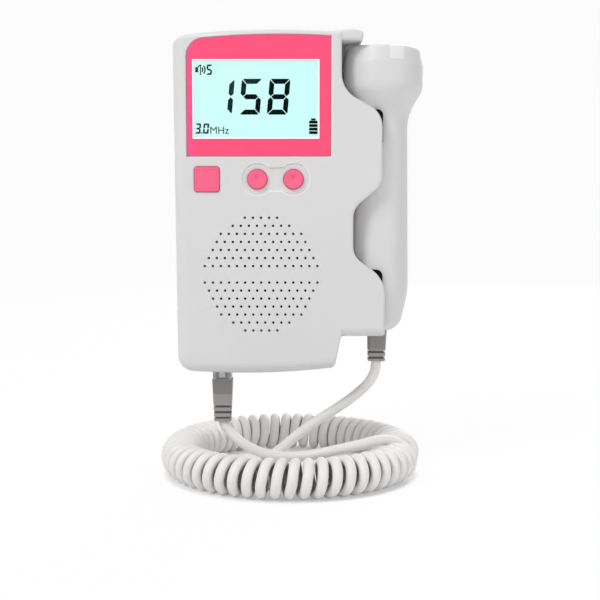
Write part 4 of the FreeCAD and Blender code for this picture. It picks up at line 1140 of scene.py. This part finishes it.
class DOPPLER_OT_studio(bpy.types.Operator):
    """Make the camera, the floor, the lamps and the world"""
    bl_idname = "doppler.studio"
    bl_label = "Studio"

    lamps = {
        "key": ((-0.60, -0.66, 0.80), 0.45),
        "fill": ((0.7, -0.7, 0.2), 0.7),
        "top": ((0.0, 0.05, 0.95), 0.7),
        "rear": ((0.35, 0.85, 0.45), 0.7),
    }
    aim = (0.01, -0.02, -0.02)
    sensor = 36
    floor_size = 6.0
    wall_height = 3.0
    wall_bend = 0.8
    glow_share = 0.95
    coil_share = 0.7
    coil_reach = 0.6

    def execute(self, context):
        scene = context.scene
        studio = scene.doppler_studio
        self.camera(scene, studio)
        for name, (place, size) in self.lamps.items():
            self.lamp(scene, name, place, size, getattr(studio, name))
        self.backdrop()
        self.world(scene, studio.world)
        scene.view_settings.view_transform = "Standard"
        return {"FINISHED"}

    def camera(self, scene, studio):
        data = bpy.data.cameras.new("camera")
        data.lens = studio.lens
        data.sensor_width = self.sensor
        data.clip_start = 0.01
        item = bpy.data.objects.new("camera", data)
        item.location = (studio.aside, -studio.distance, studio.height)
        item.rotation_euler = (math.pi / 2 - studio.tilt, 0, 0)
        scene.collection.objects.link(item)
        scene.camera = item

    def lamp(self, scene, name, place, size, power):
        data = bpy.data.lights.new(name, "AREA")
        data.shape = "DISK"
        data.size = size
        data.energy = power
        item = bpy.data.objects.new(name, data)
        item.location = place
        item.rotation_euler = (Vector(self.aim) - Vector(place)).to_track_quat("-Z", "Y").to_euler()
        scene.collection.objects.link(item)

    def backdrop(self):
        """A floor that bends up into a wall behind the object."""
        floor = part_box("cord_coil")[0].z
        deselect()
        bpy.ops.mesh.primitive_plane_add(size=self.floor_size, location=(0, 0, floor))
        item = bpy.context.object
        bpy.ops.object.mode_set(mode="EDIT")
        bpy.ops.mesh.select_all(action="DESELECT")
        bpy.ops.object.mode_set(mode="OBJECT")
        for edge in item.data.edges:
            ends = [item.data.vertices[i].co.y for i in edge.vertices]
            edge.select = min(ends) > 0
        bpy.ops.object.mode_set(mode="EDIT")
        bpy.ops.mesh.select_mode(type="EDGE")
        bpy.ops.mesh.extrude_region_move(TRANSFORM_OT_translate={"value": (0, 0, self.wall_height)})
        bpy.ops.object.mode_set(mode="OBJECT")
        corner = item.modifiers.new("bend", "BEVEL")
        corner.width = self.wall_bend
        corner.segments = 12
        bpy.ops.object.modifier_apply(modifier="bend")
        item.data.shade_smooth()
        item.name = "backdrop"
        item.data.materials.append(self.paper())

    def paper(self):
        """White paper that is seen almost evenly lit, with the object's shadow, deeper within the coil."""
        finish = Finish("backdrop_paper", (0.9, 0.9, 0.9), 0.9)
        x, y, _ = finish.along()
        centre, radius, thick = ring_size()
        within = radius + self.coil_reach * thick
        shadow = finish.slope(span(x - centre.x, y - centre.y), radius + thick, within)
        share = self.glow_share * finish.seen() * (1 - self.coil_share * shadow)
        glow = finish.node("ShaderNodeEmission", None, {"Color": (1, 1, 1, 1), "Strength": 1.0})
        mix = finish.node("ShaderNodeMixShader", None, {
            0: share, 1: finish.shader.outputs[0], 2: glow.outputs[0]})
        output = finish.tree.nodes["Material Output"]
        finish.tree.links.new(output.inputs["Surface"], mix.outputs[0])
        return finish.material

    def world(self, scene, strength):
        """Even light from all round, which the camera sees as white."""
        world = bpy.data.worlds.new("studio_world")
        world.use_nodes = True
        sky = Shading(world.node_tree)
        background = sky.tree.nodes["Background"]
        background.inputs["Color"].default_value = (1, 1, 1, 1)
        sky.feed(background.inputs["Strength"], strength + (1 - strength) * sky.seen())
        scene.world = world


class DOPPLER_PT_panel(bpy.types.Panel):
    """Lists the steps that dress the monitor"""
    bl_idname = "DOPPLER_PT_panel"
    bl_label = "Fetal doppler monitor"
    bl_space_type = "VIEW_3D"
    bl_region_type = "UI"
    bl_category = "Doppler"

    def draw(self, context):
        for step in STEPS:
            self.layout.operator(step.bl_idname)


STEPS = (DOPPLER_OT_studio, DOPPLER_OT_shells, DOPPLER_OT_front, DOPPLER_OT_plugs, DOPPLER_OT_inside,
         DOPPLER_OT_latches, DOPPLER_OT_reading, DOPPLER_OT_signs, DOPPLER_OT_cord)
GROUPS = {
    "doppler_colours": DopplerColours,
    "doppler_cord": DopplerCord,
    "doppler_readout": DopplerReadout,
    "doppler_studio": DopplerStudio,
}


def register():
    for name, group in GROUPS.items():
        bpy.utils.register_class(group)
        setattr(bpy.types.Scene, name, bpy.props.PointerProperty(type=group))
    for step in STEPS + (DOPPLER_PT_panel,):
        bpy.utils.register_class(step)


def unregister():
    for step in reversed(STEPS + (DOPPLER_PT_panel,)):
        bpy.utils.unregister_class(step)
    for name, group in GROUPS.items():
        delattr(bpy.types.Scene, name)
        bpy.utils.unregister_class(group)


def main():
    register()
    bpy.ops.doppler.studio()
    bpy.ops.doppler.shells()
    bpy.ops.doppler.front()
    bpy.ops.doppler.plugs()
    bpy.ops.doppler.inside()
    bpy.ops.doppler.latches()
    bpy.ops.doppler.reading()
    bpy.ops.doppler.signs()
    bpy.ops.doppler.cord()


if __name__ == "__main__":
    main()
